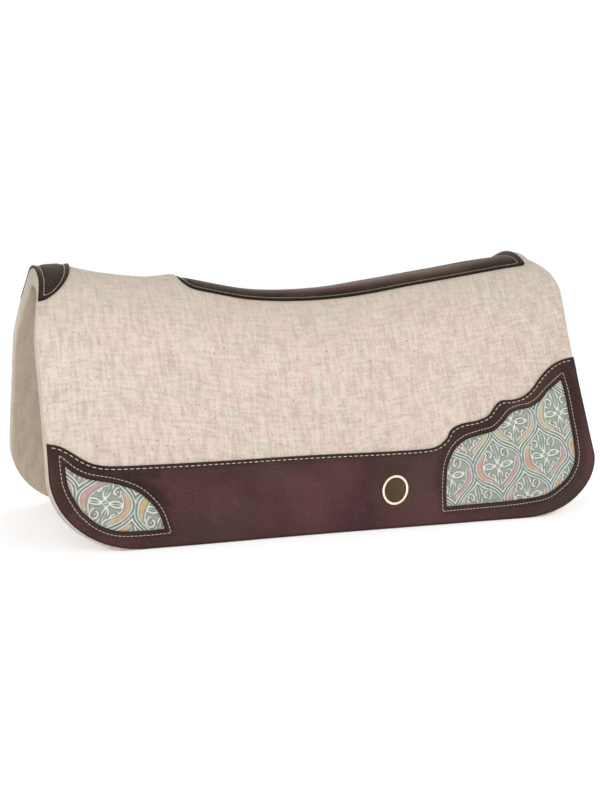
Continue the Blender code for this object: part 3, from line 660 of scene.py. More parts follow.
class Surface:
    """A material in the making, its colour and bump laid on in layers."""

    def __init__(self, name, colour=None, **constants):
        self.material = bpy.data.materials.new(name)
        self.material.use_nodes = True
        self.tree = self.material.node_tree
        self.shader = self.tree.nodes["Principled BSDF"]
        for key, value in constants.items():
            self.shader.inputs[key.replace("_", " ")].default_value = value
        self.flat = attribute(self.tree, "flat")
        self.colour = colour
        self.normal = None

    def noise(self, scale, detail=2.0, roughness=0.5, distortion=0.0):
        """Noise over the pattern, with one scale or one for each direction."""
        vector = self.flat
        if isinstance(scale, tuple):
            inputs = [(0, vector), (1, scale)]
            stretch = node(self.tree, "ShaderNodeVectorMath", inputs, operation="MULTIPLY")
            vector = stretch.outputs[0]
            scale = 1.0
        return node(self.tree, "ShaderNodeTexNoise", [
            ("Vector", vector), ("Scale", scale), ("Detail", detail),
            ("Roughness", roughness), ("Distortion", distortion),
        ]).outputs["Fac"]

    def lay(self, *layers):
        """Mix in colours, each by a field, two values of it and its shares there."""
        for colour, field, low, high, at_low, at_high in layers:
            share = spread(self.tree, field, low, high, at_low, at_high)
            self.colour = blend_colours(self.tree, share, self.colour, colour)

    def bump(self, height, strength, distance):
        inputs = [("Height", height), ("Strength", strength), ("Distance", distance)]
        if self.normal is not None:
            inputs.append(("Normal", self.normal))
        self.normal = node(self.tree, "ShaderNodeBump", inputs).outputs["Normal"]

    def finish(self):
        self.tree.links.new(self.colour, self.shader.inputs["Base Color"])
        if self.normal is not None:
            self.tree.links.new(self.normal, self.shader.inputs["Normal"])
        return self.material


def felt_material():
    """Pressed oatmeal wool: pink and green clouds, crossing fibres, dark and light flecks, with
    painted shade along the crown and on the inner face.
    """
    felt = Surface(
        "oatmeal_felt", (247, 220, 208), Roughness=0.95, Sheen_Weight=0.12,
        Sheen_Roughness=0.5, Specular_IOR_Level=0.15,
    )
    tree = felt.tree
    from_front, down_side, height = node(tree, "ShaderNodeSeparateXYZ", [(0, felt.flat)]).outputs
    along = felt.noise((46.0, 240.0, 240.0), 3.0, 0.55)
    down = felt.noise((240.0, 46.0, 240.0), 3.0, 0.55)
    fibres = calculate(tree, "ADD", along, down)
    streaks = felt.noise((125.0, 26.0, 125.0))
    fuzz = felt.noise(1100.0, 4.0, 0.7, 0.6)
    ragged = calculate(tree, "MULTIPLY", fuzz, 0.5)
    dark = calculate(tree, "ADD", felt.noise((260.0, 300.0, 260.0), 1.0), ragged)
    light = calculate(tree, "ADD", felt.noise((330.0, 280.0, 310.0), 1.0), ragged)
    # Inner face: mottled felt, made darker as painted shade under the arch
    mottled = spread(tree, felt.noise((90.0, 27.0, 90.0), 3.0), 0.3, 0.7)
    inner = blend_colours(tree, mottled, (196, 182, 160), (224, 206, 184))
    felt.lay(
        ((235, 225, 207), felt.noise(13.0, 3.0, 0.6), 0.50, 0.66, 0.0, 1.0),
        ((240, 226, 209), from_front, 0.03, 0.12, 0.80, 0.0),
        ((225, 211, 193), from_front, 0.58, 0.74, 0.0, 0.65),
        ((213, 191, 176), felt.noise(38.0), 0.48, 0.68, 0.0, 0.36),
        ((206, 186, 170), fibres, 0.78, 1.00, 0.54, 0.0),
        ((250, 240, 228), fibres, 1.00, 1.20, 0.0, 0.62),
        ((210, 189, 174), streaks, 0.50, 0.70, 0.0, 0.50),
        ((206, 188, 172), fuzz, 0.36, 0.52, 0.24, 0.0),
        ((252, 243, 232), fuzz, 0.54, 0.68, 0.0, 0.50),
        ((158, 126, 112), dark, 0.935, 1.00, 0.0, 0.75),
        ((255, 250, 240), light, 0.92, 1.01, 0.0, 0.80),
        # Painted shade: the felt greyer and darker along the crown, near the spine
        ((194, 188, 168), calculate(tree, "ABSOLUTE", down_side), 0.03, 0.14, 0.65, 0.0),
        # Painted shade: the inner face darker
        (inner, height, -0.023, -0.018, 0.60, 0.0),
    )
    felt.bump(fuzz, 0.50, 0.0009)
    felt.bump(fibres, 0.35, 0.0009)
    return felt.finish()


def leather_material(name, burnish_and_edge_shade, gloss, grain):
    """Waxed leather over its tint: slow changes of tone, fine grain, and darker edges, partly
    burnish and partly painted shade.
    """
    leather = Surface(name, Roughness=0.55, Specular_IOR_Level=gloss)
    tree = leather.tree
    tint = attribute(tree, "tint", "Color")
    leather.colour = blend_colours(tree, 0.30, tint, (24, 16, 12))
    lighter = blend_colours(tree, 0.05, tint, (190, 152, 132))
    pores = leather.noise(320.0, 4.0, 0.65)
    leather.lay(
        (lighter, leather.noise(11.0, 3.0, 0.55), 0.35, 0.65, 0.0, 1.0),
        ((70, 58, 46), leather.noise(60.0, 4.0, 0.6), 0.50, 0.75, 0.0, 0.30),
        ((30, 20, 18), pores, 0.34, 0.50, 0.20, 0.0),
        ((176, 140, 126), pores, 0.54, 0.72, 0.0, 0.09),
        # Darker edges: partly burnish, partly painted shade along the cut edges and windows
        (burnish_and_edge_shade, attribute(tree, "edge", "Fac"), 0.0006, 0.0032, 0.85, 0.0),
    )
    cells = node(tree, "ShaderNodeTexVoronoi", [("Vector", leather.flat), ("Scale", grain)],
                 feature="DISTANCE_TO_EDGE").outputs["Distance"]
    leather.bump(spread(tree, cells, 0.0, 0.30), 0.45, 0.0004)
    leather.bump(leather.noise(160.0, 4.0, 0.6), 0.20, 0.0008)
    return leather.finish()


def inlay_material():
    """Embossed leather, tinted by hand along its relief and wiped with a dark antique."""
    inlay = Surface("embossed_inlay_leather", Roughness=0.45, Specular_IOR_Level=0.35)
    inlay.colour = attribute(inlay.tree, "tint", "Color")
    inlay.lay(
        ((236, 234, 224), inlay.noise(140.0, 4.0, 0.6), 0.40, 0.65, 0.0, 0.18),
        ((120, 122, 108), inlay.noise(420.0, 3.0, 0.6), 0.52, 0.72, 0.0, 0.30),
    )
    inlay.bump(inlay.noise(900.0, 4.0, 0.6), 0.40, 0.0004)
    return inlay.finish()


def thread_material(name, colour, shade):
    """Waxed two-ply thread, its plies wound round each other, with painted shade in the grooves
    between them.
    """
    thread = Surface(name, colour, Roughness=0.6, Sheen_Weight=0.2)
    ply = attribute(thread.tree, "ply")
    turns = node(thread.tree, "ShaderNodeTexWave", [("Vector", ply), ("Scale", 1.0)],
                 bands_direction="X").outputs["Fac"]
    thread.lay(
        # Painted shade in the grooves between the plies; the noise after it is the thread's own
        # tone
        (shade, turns, 0.0, 0.6, 0.5, 0.0),
        (shade, thread.noise(60.0), 0.45, 0.75, 0.0, 0.5),
    )
    thread.bump(turns, 0.5, 0.0002)
    return thread.finish()


def brass_material():
    """Pale brass, finely brushed and unevenly worn."""
    brass = Surface("pale_brass", (236, 212, 184), Metallic=1.0, Roughness=0.3)
    brass.lay(((252, 238, 220), brass.noise((300.0, 2500.0, 300.0)), 0.3, 0.7, 0.0, 1.0))
    worn = spread(brass.tree, brass.noise(400.0, 3.0), 0.3, 0.7, 0.22, 0.42)
    brass.tree.links.new(worn, brass.shader.inputs["Roughness"])
    return brass.finish()


MATERIALS = {
    "felt": felt_material(),
    "wear": leather_material("burgundy_leather", (44, 31, 26), 0.18, 900.0),
    "spine": leather_material("dark_brown_leather", (34, 27, 20), 0.10, 900.0),
    "medallion": leather_material("olive_brown_leather", (50, 38, 22), 0.22, 1400.0),
    "inlay": inlay_material(),
    "brass": brass_material(),
    "cream_thread": thread_material("cream_thread", (242, 224, 208), (208, 184, 166)),
    "rose_thread": thread_material("rose_thread", (226, 196, 186), (190, 156, 146)),
    "tan_thread": thread_material("tan_thread", (208, 188, 164), (168, 146, 122)),
}


def settle(piece, material, stands_for, side=None):
    """Give a piece its material in a slot, hide the part it stands for, and give a side's piece one
    half's node to ride; a piece over both halves has its transform baked in.
    """
    piece.data.materials.append(MATERIALS[material])
    if side:
        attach(piece, side + "_half")
    else:
        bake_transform(piece)
    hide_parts(stands_for)


def lines_beside(line, offsets, closed=True):
    """The line and its parallels, as points for a flat mesh."""
    move = offset_loop if closed else offset_line
    return [resample(move(line, offset), LINE_STEP, closed) for offset in offsets]


def groove(points, line, closed, depth, half_width):
    """Depth of a groove of round section along a line and its mirror image."""
    d = distance_to(np.abs(points), resample(line, GROOVE_STEP, closed), closed)
    return depth * np.maximum(1.0 - (d / half_width) ** 2, 0.0) ** 1.5


def bell(value, width):
    return np.exp(-(value / width) ** 2)


def painted(base, *layers):
    """Colour of each point: a base, moved towards each layer's colour by its share.

    Colours are linear arrays or 8-bit screen colours.
    """
    colour = np.array(srgb(*base)) if isinstance(base, tuple) else base
    for other, share in layers:
        other = np.array(srgb(*other)) if isinstance(other, tuple) else other
        colour = colour * (1.0 - share[:, None]) + other * share[:, None]
    return np.c_[colour, np.ones(len(colour))]


def build_felt():
    """Two padded halves with seats under the inlays, cut off level at the floor."""
    flat = flat_mesh("felt", [felt_outline()])
    points = flat["points"]
    seat = np.zeros(len(points))
    for name in INLAYS:
        loop = to_pattern(window(name))
        out = np.where(is_inside(points, [loop]), 0.0, distance_to(points, loop))
        seat = np.maximum(seat, smoothstep((SEAT_REACH - out) / SEAT_RAMP))
    for side, sign in SIDES:
        face = lie(points[:, 0], points[:, 1] * sign) - (INLAY + GAP) * seat
        top = face - rounded(flat["edge"], FELT_ROUNDING[0])
        bottom = rounded(flat["edge"], FELT_ROUNDING[1]) - FELT
        piece = solid("felt_pad_" + side, flat, top, bottom, sign, walls=6)
        for vertex in piece.data.vertices:
            vertex.co.z = max(vertex.co.z, 0.0)
        settle(piece, "felt", "felt_" + side)


def cut_leather(name, flat, thickness, rounding, cut, tint, sign=1.0, under=0.0):
    """Leather lying on the felt, its edges rounded and lines cut into its face."""
    base = lie(flat["points"][:, 0], flat["points"][:, 1] * sign) + GAP
    top = base + thickness - rounded(flat["edge"], rounding) - cut
    return solid(name, flat, top, base + under, sign, walls=2, tint=tint)


def wear_tint(x, z, from_rows):
    """Burgundy leather, browner beside the stitching and olive at the rear corner."""
    drift = 0.5 + 0.5 * np.sin(19.0 * x + 1.2) * np.sin(31.0 * z - 9.0 * x + 0.4)
    front = smoothstep((0.16 - x) / 0.10) * smoothstep((0.075 - z) / 0.05)
    rear = smoothstep((x - 0.64) / 0.08) * smoothstep((0.070 - z) / 0.04)
    return painted(
        (88, 50, 56),
        ((72, 50, 47), 0.75 * smoothstep((drift - 0.35) / 0.4)),
        ((74, 40, 45), 0.80 * front),
        ((60, 52, 42), 0.90 * rear),
        ((50, 30, 24), 0.90 * smoothstep((0.017 - from_rows) / 0.009)),
    )


def build_wear_leather():
    """Leather along each flap, with two windows and three sunk stitch rows."""
    rows = [(edge_row(), False)] + [(window_row(name), True) for name in INLAYS]
    extra = [beside for line, closed in rows for beside in lines_beside(line, GROOVE_LINES, closed)]
    loops = [wear_outline()] + [to_pattern(window(name)) for name in INLAYS]
    flat = flat_mesh("wear", loops, extra)
    points = flat["points"]
    cut = np.max([groove(points, line, closed, *WEAR_GROOVE) for line, closed in rows], axis=0)

    # The brown border is narrower along the plain middle and under the windows
    above = drop_to(points[:, 0], 0.0) - points[:, 1]
    from_top, *from_windows = (distance_to(points, line, closed) for line, closed in rows)
    middle = points[:, 0] >= FRONT_WINDOW_BOTTOM[0][0]
    middle &= points[:, 0] <= PAD_LENGTH - REAR_WINDOW_TOP[0][0]
    from_top = from_top + np.where(middle, PLAIN_BORDER, 0.0)
    low = np.where(above > LOW_BORDER_HEIGHT, 0.0, LOW_BORDER)
    from_windows = np.min(from_windows, axis=0) + low
    tint = wear_tint(points[:, 0], above, np.minimum(from_windows, from_top))
    under = rounded(flat["edge"], WEAR_ROUNDING[1])
    for side, sign in SIDES:
        name = "wear_leather_cut_" + side
        piece = cut_leather(name, flat, WEAR, WEAR_ROUNDING[0], cut, tint, sign, under)
        settle(piece, "wear", "wear_leather_" + side, side)


def spine_tint(x, u):
    """Dark brown leather, with redder and more golden stretches along the spine."""
    return painted(
        (60, 45, 36),
        ((92, 48, 46), bell(x - 0.43, 0.08)),
        ((100, 76, 48), bell(x - 0.59, 0.07)),
        ((38, 37, 29), smoothstep((0.08 - x) / 0.03)),
        ((46, 35, 26), smoothstep((np.abs(u) - 0.040) / 0.012)),
    )


def build_spine_leathers():
    """Wither patch with a stitch row and a tooled line inside it, and the spine strip."""
    tooled = patch_outline(PATCH_ROW_INSET + TOOLED_LINE_OFFSET)
    # Name, outline, sunk lines (place, depth, half width, mesh lines), stretch of its tint
    pieces = (
        ("wither_patch", patch_outline(0.0), (
            (PATCH_ROW, 0.0008, 0.0017, GROOVE_LINES),
            (tooled, 0.0006, 0.0010, GROOVE_LINES[1:-1]),
        ), 0.3),
        ("spine_strip", strip_outline(0.0, 0.0), (
            (STRIP_ROW, 0.0007, 0.0016, GROOVE_LINES),
        ), 1.0),
    )
    for name, outline, sunk, stretch in pieces:
        extra = [beside for line, _, _, offsets in sunk for beside in lines_beside(line, offsets)]
        flat = flat_mesh(name, [outline], extra)
        x, u = flat["points"].T
        cut = sum(groove(flat["points"], line, True, *size) for line, *size, _ in sunk)
        tint = spine_tint(x, u * stretch)
        piece = cut_leather(name + "_cut", flat, SPINE_LEATHER, SPINE_LEATHER_ROUNDING, cut, tint)
        settle(piece, "spine", name)


# The inlays' lattice of ogee cells: place of a cell's centre, turn, width, height
LATTICES = {
    "front": (0.0690, 0.0605, math.radians(-12.0), 0.074, 0.104),
    "rear": (PAD_LENGTH - 0.1585, 0.0760, math.radians(8.6), 0.0770, 0.1050),
}
# A cell's left and right crescent: how far down and half length, as shares of the cell's
# height, and width in mm. Then the colours of both
CRESCENTS = {
    "front": ((-0.08, 0.22, 9.0), (0.05, 0.22, 8.5)),
    "rear": ((0.02, 0.20, 8.5), (0.12, 0.18, 6.5)),
}
CRESCENT_COLOURS = {
    "front": ((222, 150, 154), (230, 170, 122)),
    "rear": ((230, 166, 126), (222, 156, 160)),
}
# In mm inside a cell's rim: groove and inner ridge with their widths, field, crescents
GROOVE_PLACE, GROOVE_WIDTH = 2.2, 0.75
RIDGE_PLACE, RIDGE_WIDTH = 4.1, 1.15
FIELD_PLACE, CRESCENT_PLACE = 5.4, 5.6
NOTCH_PITCH, NOTCH_DEPTH = 3.4, 1.4
# A cell's flower, in mm: leaves by length and half width, and its scrolls
LEAF_START = 3.5
LEAVES = ((24.0, 3.7), (39.0, 5.2))
SCROLL_PLACE = (12.6, 15.6)
SCROLL_START, SCROLL_GROWTH = 3.0, 4.6
SCROLL_REACH = 9.0
MM = 0.001


def flower(p, q):
    """Ridges and eyes of a four-leaved flower with four scrolls, places in millimetres."""
    p = p + 0.9 * np.sin(0.21 * q + 0.5)
    q = q + 0.9 * np.sin(0.19 * p + 1.9)
    result = np.zeros_like(p)
    for along, across, (length, wide) in ((p, q, LEAVES[0]), (q, p, LEAVES[1])):
        s = (np.abs(along) - LEAF_START) / (length - LEAF_START)
        half = wide * np.sin(math.pi * np.clip(s, 0.0, 1.0)) ** 0.8
        leaf = bell(np.abs(across) - half, 1.35) + 0.7 * bell(across, 0.9)
        result = np.maximum(result, leaf * ((s > 0.0) & (s < 1.0)))
    eyes = np.zeros_like(p)
    for side_p, side_q in ((1, 1), (1, -1), (-1, 1), (-1, -1)):
        out, up = p * side_p - SCROLL_PLACE[0], q * side_q - SCROLL_PLACE[1]
        d = np.hypot(out, up)
        around = np.mod(np.arctan2(up, -out) / (2.0 * math.pi) + 0.30, 1.0)
        scroll = bell(d - SCROLL_START - SCROLL_GROWTH * around, 1.45) * smoothstep(around / 0.08)
        scroll = np.maximum(scroll, 0.9 * bell(d, 1.5))
        near = smoothstep((SCROLL_REACH - d) / 1.5)
        result = result * (1.0 - near) + scroll * near
        eyes = np.maximum(eyes, smoothstep((6.0 - d) / 2.5) * (0.5 + 0.5 * side_p * side_q))
    centre = np.hypot(p, q)
    boss = np.maximum(bell(centre, 1.6), 0.9 * bell(centre - 3.8, 1.1))
    return np.maximum(result, boss), eyes


def lattice(name, x, z):
    """Relief and colours of a plain lattice of ogee cells, each with a flower, and painted shade
    along the flanks of the ridges.
    """
    centre_x, centre_z, turn, width, height = LATTICES[name]
    x, z = x + 0.8 * MM * np.sin(190.0 * z + 1.0), z + 0.8 * MM * np.sin(170.0 * x)
    a = (x - centre_x) * math.cos(turn) + (z - centre_z) * math.sin(turn)
    b = (z - centre_z) * math.cos(turn) - (x - centre_x) * math.sin(turn)
    cells = []
    for shift in (0.0, 0.5):
        column = np.round(a / width - shift) + shift
        row = np.round(b / height - shift) + shift
        cells.append((a - column * width, b - row * height, column, row))

    def half_width(up):
        s = 2.0 * math.pi * up / height
        return width / 4.0 * (1.0 + 1.07 * np.cos(s) - 0.07 * np.cos(3.0 * s))

    first = np.abs(cells[0][0]) <= half_width(cells[0][1])
    across, up, column, row = (np.where(first, p, q) for p, q in zip(*cells))
    lean = (half_width(up + MM) - half_width(up - MM)) / (2.0 * MM)
    rim = (half_width(up) - np.abs(across)) / np.hypot(1.0, lean) / MM
    sunk = bell(rim - GROOVE_PLACE, GROOVE_WIDTH)
    field = smoothstep(rim - FIELD_PLACE)

    # Crescents of colour along both sides of a cell, notched on their inner edge
    left = across < 0.0
    low, long, broad = (np.where(left, p, q) for p, q in zip(*CRESCENTS[name]))
    end = np.abs((up + low * height) / (long * height))
    notches = 0.5 + 0.5 * np.cos(2.0 * math.pi * up / (NOTCH_PITCH * MM))
    wide = CRESCENT_PLACE + broad * np.sqrt(np.maximum(1.0 - end * end, 0.0))
    band = smoothstep((rim - FIELD_PLACE) / 0.8) * (end < 1.0)
    band = band * smoothstep((wide - NOTCH_DEPTH * notches - rim) / 0.8)
    lip = bell(rim - NOTCH_DEPTH - wide, 1.1) * (end < 1.0)

    ridges, eyes = flower(across / MM, up / MM)
    inside = smoothstep((rim - wide) / 1.5) * field
    ridges = np.maximum(ridges * inside, 0.9 * lip)
    grain = np.sin(410.0 * x + 3.0 * np.sin(310.0 * z))
    grain *= np.sin(390.0 * z + 2.0 * np.sin(350.0 * x))
    line, ridge = bell(rim, 1.1), bell(rim - RIDGE_PLACE, RIDGE_WIDTH)
    raised = np.maximum.reduce([0.85 * line, 0.95 * ridge, ridges]) * (0.88 + 0.12 * grain)
    relief = 1.15 * np.maximum(raised, 0.65 * band) - 0.45 * sunk
    relief = relief - 0.40 * field * (1.0 - np.maximum(ridges, band))

    tone = np.sin(31.0 * column + 17.0 * row + 60.0 * x) * np.sin(23.0 * row + 75.0 * z)
    tone = 0.5 + 0.5 * np.sin(3.0 * tone + 90.0 * (x + z))
    one, other = (srgb(*value) for value in CRESCENT_COLOURS[name])
    if name == "rear":
        golden, golden_cells = (228, 206, 158), row > 0.2
    else:
        golden, golden_cells = (224, 180, 108), column > 0.4
    warm = painted(
        np.where(left[:, None], one, other),
        (golden, 0.9 * golden_cells),
        ((230, 214, 178), smoothstep((end - 0.45) / 0.5)),
    )[:, :3]
    tint = painted(
        (170, 172, 162),
        ((142, 174, 156), 0.60 * tone),
        ((190, 168, 162), 0.50 * smoothstep((grain - 0.1) / 0.8) * (1.0 - tone)),
        ((118, 128, 114), 0.55 * inside * eyes),
        ((212, 156, 158), 0.55 * inside * smoothstep((eyes - 0.5) / 0.4) * tone),
        # Painted shade: dark flanks on both sides of every ridge
        ((74, 90, 76), 0.95 * bell(raised - 0.20, 0.14) * (1.0 - 0.3 * tone)),
        ((70, 136, 112), 0.80 * sunk * (0.25 + 0.75 * tone)),
        ((244, 243, 234), smoothstep((raised - 0.36) / 0.34)),
        (warm, 0.85 * band * (0.70 + 0.30 * notches)),
        ((134, 142, 162), 0.65 * bell(np.hypot(rim, up / MM / 3.6), 2.8)),
    )
    return relief * MM, tint


def build_inlays():
    """Embossed panels behind the windows, smooth where the leather covers them."""
    for name in INLAYS:
        flat = flat_mesh("inlay", [to_pattern(offset_loop(window(name), INLAY_FLANGE))])
        x, u = flat["points"].T
        relief, tint = lattice(name, x, drop_to(x, 0.0) - u)
        opening = to_pattern(window(name))
        inside = is_inside(flat["points"], [opening])
        depth = np.where(inside, distance_to(flat["points"], opening), 0.0)
        relief = relief * smoothstep(depth / RELIEF_FADE)
        relief += INLAY_DOME * smoothstep(depth / INLAY_DOME_REACH)
        for side, sign in SIDES:
            face = lie(x, u * sign)
            top = face - INLAY_SINK + relief
            cut_name = name + "_inlay_cut_" + side
            piece = solid(cut_name, flat, top, face - INLAY, sign, tint=tint)
            settle(piece, "inlay", name + "_inlay_" + side, side)


def turned(name, profile, sign, steps=96):
    """Round piece turned from a profile of (radius, height over its seat) points."""
    middle = PAD_LENGTH - MEDALLION_SETBACK
    centre = drop_to(middle, MEDALLION_HEIGHT)
    seat = lie(np.array([middle]), np.array([centre * sign]))[0] + 2.0 * GAP + WEAR
    radius, height = (np.repeat(values, steps) for values in zip(*profile))
    angle = np.tile(2.0 * math.pi * np.arange(steps) / steps, len(profile))
    x, u = middle + radius * np.cos(angle), centre + radius * np.sin(angle)
    pattern = np.c_[x, u * sign, seat + height]
    ring = np.arange(steps)
    after = np.roll(ring, -1)
    is_tube = profile[0][0] > 0.0
    faces = []
    for k in range(len(profile) if is_tube else len(profile) - 1):
        a, b = k * steps, (k + 1) % len(profile) * steps
        faces += np.c_[a + ring, b + ring, b + after, a + after].tolist()
    piece = new_mesh(name, drape(*pattern.T), faces, {
        "flat": pattern, "edge": np.full(len(pattern), 0.01),
        "tint": np.tile((*srgb(84, 68, 38), 1.0), (len(pattern), 1)),
    })
    work = bmesh.new()
    work.from_mesh(piece.data)
    bmesh.ops.remove_doubles(work, verts=work.verts, dist=1e-6)
    bmesh.ops.recalc_face_normals(work, faces=work.faces)
    work.to_mesh(piece.data)
    work.free()
    return piece


def build_medallions():
    """Plain disc with a tooled line near its edge, and the rounded ring that holds it."""
    bore = MEDALLION_RADIUS - MEDALLION_RING_WIDTH
    half = MEDALLION_RING_WIDTH / 2.0
    ring = [(bore + 0.0001, 0.0)]
    for angle in np.linspace(math.pi, 0.0, 13):
        height = MEDALLION_RING - RING_CROWN + RING_CROWN * math.sin(angle)
        ring.append((bore + half + half * math.cos(angle), height))
    ring.append((MEDALLION_RADIUS - 0.0001, 0.0))
    face = bore - GAP
    disc = [
        (0.0, 0.0), (face * 0.5, 0.0), (face, 0.0), (face, MEDALLION - 0.0004),
        (face - 0.0003, MEDALLION - 0.0001), (face - 0.0010, MEDALLION),
        (face - 0.0016, MEDALLION - 0.0003), (face - 0.0022, MEDALLION),
        (face * 0.66, MEDALLION), (face * 0.33, MEDALLION), (0.0, MEDALLION),
    ]
    for side, sign in SIDES:
        piece = turned("medallion_ring_round_" + side, ring, sign)
        settle(piece, "brass", "medallion_ring_" + side, side)
        piece = turned("medallion_disc_" + side, disc, sign)
        settle(piece, "medallion", "medallion_" + side, side)


# Rings of points along a stitch: place from -1 to 1, share of the thread's radius
STITCH_RINGS = ((-0.95, 0.5), (-0.80, 0.86), (-0.45, 1.0), (0.0, 1.0), (0.45, 1.0),
                (0.80, 0.86), (0.95, 0.5))
STITCH_SIDES = 7
PLY_TURNS = 2.4
SEAM_LIFT = 0.2
# Rows of stitches: thread, pitch, share of it that is hidden, height over the felt
EDGE_STITCHES = ("cream_thread", 0.0080, 0.26, GAP + WEAR - STITCH_SINK)
WINDOW_STITCHES = ("rose_thread", 0.0052, 0.10, GAP + WEAR - STITCH_SINK)
PATCH_STITCHES = ("tan_thread", 0.0045, 0.14, GAP + SPINE_LEATHER - STITCH_SINK)
STRIP_STITCHES = ("tan_thread", 0.0042, 0.34, GAP + SPINE_LEATHER - STITCH_SINK)


def stitches(name, starts, ends, normals, flat, lift=0.65):
    """One mesh of single stitches, each bowed up between the two points it goes down at."""
    count = len(starts)
    centre = (starts + ends) / 2.0
    half = (ends - starts) / 2.0
    across = unit(np.cross(half, normals))
    up = np.cross(across, unit(half))
    size = THREAD * (1.0 + 0.06 * random.standard_normal((count, 1)))

    def spot(s, share, angle):
        level = THREAD * (lift * (1.0 - s * s) - 0.9 * abs(s) ** 3 + 0.1)
        round_it = share * size * (up * math.sin(angle) + across * math.cos(angle))
        return centre + half * s + up * level + round_it

    angles = 2.0 * math.pi * np.arange(STITCH_SIDES) / STITCH_SIDES
    rings = [(s, share, angle) for s, share in STITCH_RINGS for angle in angles]
    spots = [(-1.0, 0.0, 0.0)] + rings + [(1.0, 0.0, 0.0)]
    vertices = np.stack([spot(*place) for place in spots], axis=1).reshape(-1, 3)
    ply = np.zeros((len(vertices), 3))
    ply[:, 0] = np.tile([PLY_TURNS * (s + 1.0) + a / math.pi for s, _, a in spots], count)
    per = len(spots)
    last = per - 1 - STITCH_SIDES
    template = []
    for j in range(STITCH_SIDES):
        k = (j + 1) % STITCH_SIDES
        template += [(0, 1 + k, 1 + j), (last + j, last + k, per - 1)]
        for a in range(1, last, STITCH_SIDES):
            b = a + STITCH_SIDES
            template.append((a + j, a + k, b + k, b + j))
    faces = [tuple(i * per + v for v in face) for i in range(count) for face in template]
    return new_mesh(name, vertices, faces, {"flat": np.repeat(flat, per, axis=0), "ply": ply})


def stitch_row(name, stands_for, kind, line, closed=True, side=None, sign=1.0):
    """Single stitches of an even pitch along a line, a share of each pitch hidden."""
    material, pitch, hidden, height = kind
    fine = resample(line, STITCH_STEP, closed, corner=math.radians(179.0))
    if closed:
        fine = np.vstack([fine, fine[:1]])
    x, u = fine[:, 0], fine[:, 1] * sign
    t = lie(x, u) + height
    lengths = np.linalg.norm(np.diff(drape(x, u, t), axis=0), axis=1)
    lengths = np.r_[0.0, np.cumsum(lengths)]
    count = round(lengths[-1] / pitch)

    def places(share):
        wanted = (np.arange(count) + share) * lengths[-1] / count
        return np.stack([np.interp(wanted, lengths, values) for values in (x, u, t)])

    starts, ends = drape(*places(hidden / 2.0)), drape(*places(1.0 - hidden / 2.0))
    middle = places(0.5)
    normals = unit(drape(middle[0], middle[1], middle[2] + MM) - drape(*middle))
    piece = stitches(name, starts, ends, normals, middle.T)
    settle(piece, material, stands_for, side)


def build_stitches():
    """Every row of single stitches, and the zigzag seam under the spine."""
    for side, sign in SIDES:
        name, thread = "edge_stitches_" + side, "wear_edge_thread_" + side
        stitch_row(name, thread, EDGE_STITCHES, edge_row(), False, side, sign)
        for inlay in INLAYS:
            name, thread = inlay + "_inlay_stitches_" + side, inlay + "_inlay_thread_" + side
            stitch_row(name, thread, WINDOW_STITCHES, window_row(inlay), True, side, sign)
    stitch_row("patch_stitches", "wither_patch_thread", PATCH_STITCHES, PATCH_ROW)
    stitch_row("strip_stitches", "spine_strip_thread", STRIP_STITCHES, STRIP_ROW)

    start, end = OPENING_END + SEAM_ROW_MARGIN, SEAM_END - SEAM_ROW_MARGIN
    count = int((end - start) / SEAM_ROW_PITCH)
    x = start + (end - start) * np.arange(count + 1) / count
    u = SEAM_ROW_HALF_WIDTH * np.where(np.arange(count + 1) % 2, -1.0, 1.0)
    under = -FELT - THREAD * 0.4
    points = drape(x, u, under)
    down = np.tile([0.0, 0.0, -1.0], (count, 1))
    flat = np.c_[x[:-1], u[:-1], np.full(count, under)]
    piece = stitches("seam_stitches", points[:-1], points[1:], down, flat, SEAM_LIFT)
    settle(piece, "cream_thread", "seam_thread")


FLOOR_SIZE = 12.0
FLOOR_GREY = 0.86
FLOOR_GLOW = 0.44
WORLD_STRENGTH = 0.66
# Lamps: name, place, width, power
LAMPS = (
    ("key", (-1.4, -2.8, 1.4), 1.6, 24.0),
    ("fill", (1.9, -1.8, 1.3), 2.2, 6.0),
    ("rear", (0.3, 2.6, 1.2), 2.4, 16.0),
)
LAMP_AIM = (0.0, 0.0, 0.18)
CAMERA_LENS = 54.0
CAMERA_SENSOR = 36.0
CAMERA_PLACE = (-0.6312, -1.6412, 0.3382)
CAMERA_DOWN = 0.1007
CAMERA_RIGHT = 0.3699


def empty_tree(owner):
    owner.use_nodes = True
    owner.node_tree.nodes.clear()
    return owner.node_tree


def seen_rays(tree):
    """1 where the camera sees a surface, also in a reflection or through glass."""
    path = node(tree, "ShaderNodeLightPath").outputs
    seen = calculate(tree, "MAXIMUM", path["Is Camera Ray"], path["Is Glossy Ray"])
    return calculate(tree, "MAXIMUM", seen, path["Is Transmission Ray"])


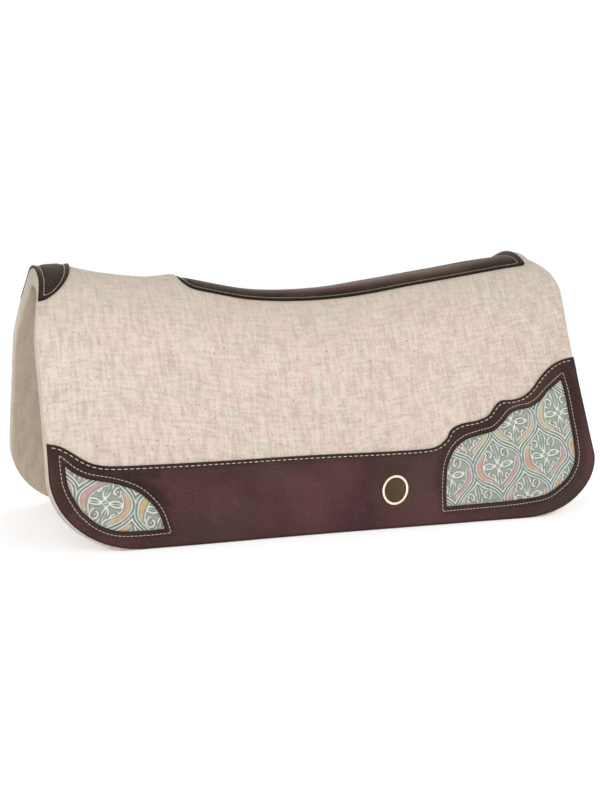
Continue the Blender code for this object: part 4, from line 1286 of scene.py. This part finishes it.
def build_floor():
    """Pale floor, with a glow that only the camera sees."""
    signs = ((-1.0, -1.0), (1.0, -1.0), (1.0, 1.0), (-1.0, 1.0))
    corners = [(x * FLOOR_SIZE, y * FLOOR_SIZE, 0.0) for x, y in signs]
    mesh = bpy.data.meshes.new("floor")
    mesh.from_pydata(corners, [], [(0, 1, 2, 3)])
    material = bpy.data.materials.new("pale_floor")
    tree = empty_tree(material)
    grey = (FLOOR_GREY, FLOOR_GREY, FLOOR_GREY, 1.0)
    diffuse = node(tree, "ShaderNodeBsdfDiffuse", [("Color", grey)])
    strength = calculate(tree, "MULTIPLY", seen_rays(tree), FLOOR_GLOW)
    glow = node(tree, "ShaderNodeEmission", [("Strength", strength)])
    both = node(tree, "ShaderNodeAddShader", [(0, diffuse.outputs[0]), (1, glow.outputs[0])])
    node(tree, "ShaderNodeOutputMaterial", [("Surface", both.outputs[0])])
    mesh.materials.append(material)
    new_object("floor", mesh)


def build_lights():
    """Soft lamps in a world that the camera sees white."""
    bpy.context.scene.world = bpy.data.worlds.new("studio")
    tree = empty_tree(bpy.context.scene.world)
    strength = spread(tree, seen_rays(tree), 0.0, 1.0, WORLD_STRENGTH, 1.0)
    background = node(tree, "ShaderNodeBackground", [
        ("Color", (1.0, 1.0, 1.0, 1.0)), ("Strength", strength),
    ])
    node(tree, "ShaderNodeOutputWorld", [("Surface", background.outputs[0])])
    for name, place, width, power in LAMPS:
        light = bpy.data.lights.new(name, "AREA")
        light.shape = "DISK"
        light.size = width
        light.energy = power
        lamp = new_object(name, light)
        lamp.location = place
        aim = Vector(LAMP_AIM) - Vector(place)
        lamp.rotation_euler = aim.to_track_quat("-Z", "Y").to_euler()


def build_camera():
    camera_data = bpy.data.cameras.new("camera")
    camera_data.lens = CAMERA_LENS
    camera_data.sensor_width = CAMERA_SENSOR
    camera = new_object("camera", camera_data)
    camera.location = CAMERA_PLACE
    camera.rotation_euler = Euler((math.pi / 2.0 - CAMERA_DOWN, 0.0, -CAMERA_RIGHT), "XYZ")
    bpy.context.scene.camera = camera


build_camera()
build_floor()
build_lights()
build_felt()
build_wear_leather()
build_spine_leathers()
build_inlays()
build_medallions()
build_stitches()

bpy.context.scene.view_settings.view_transform = "Standard"
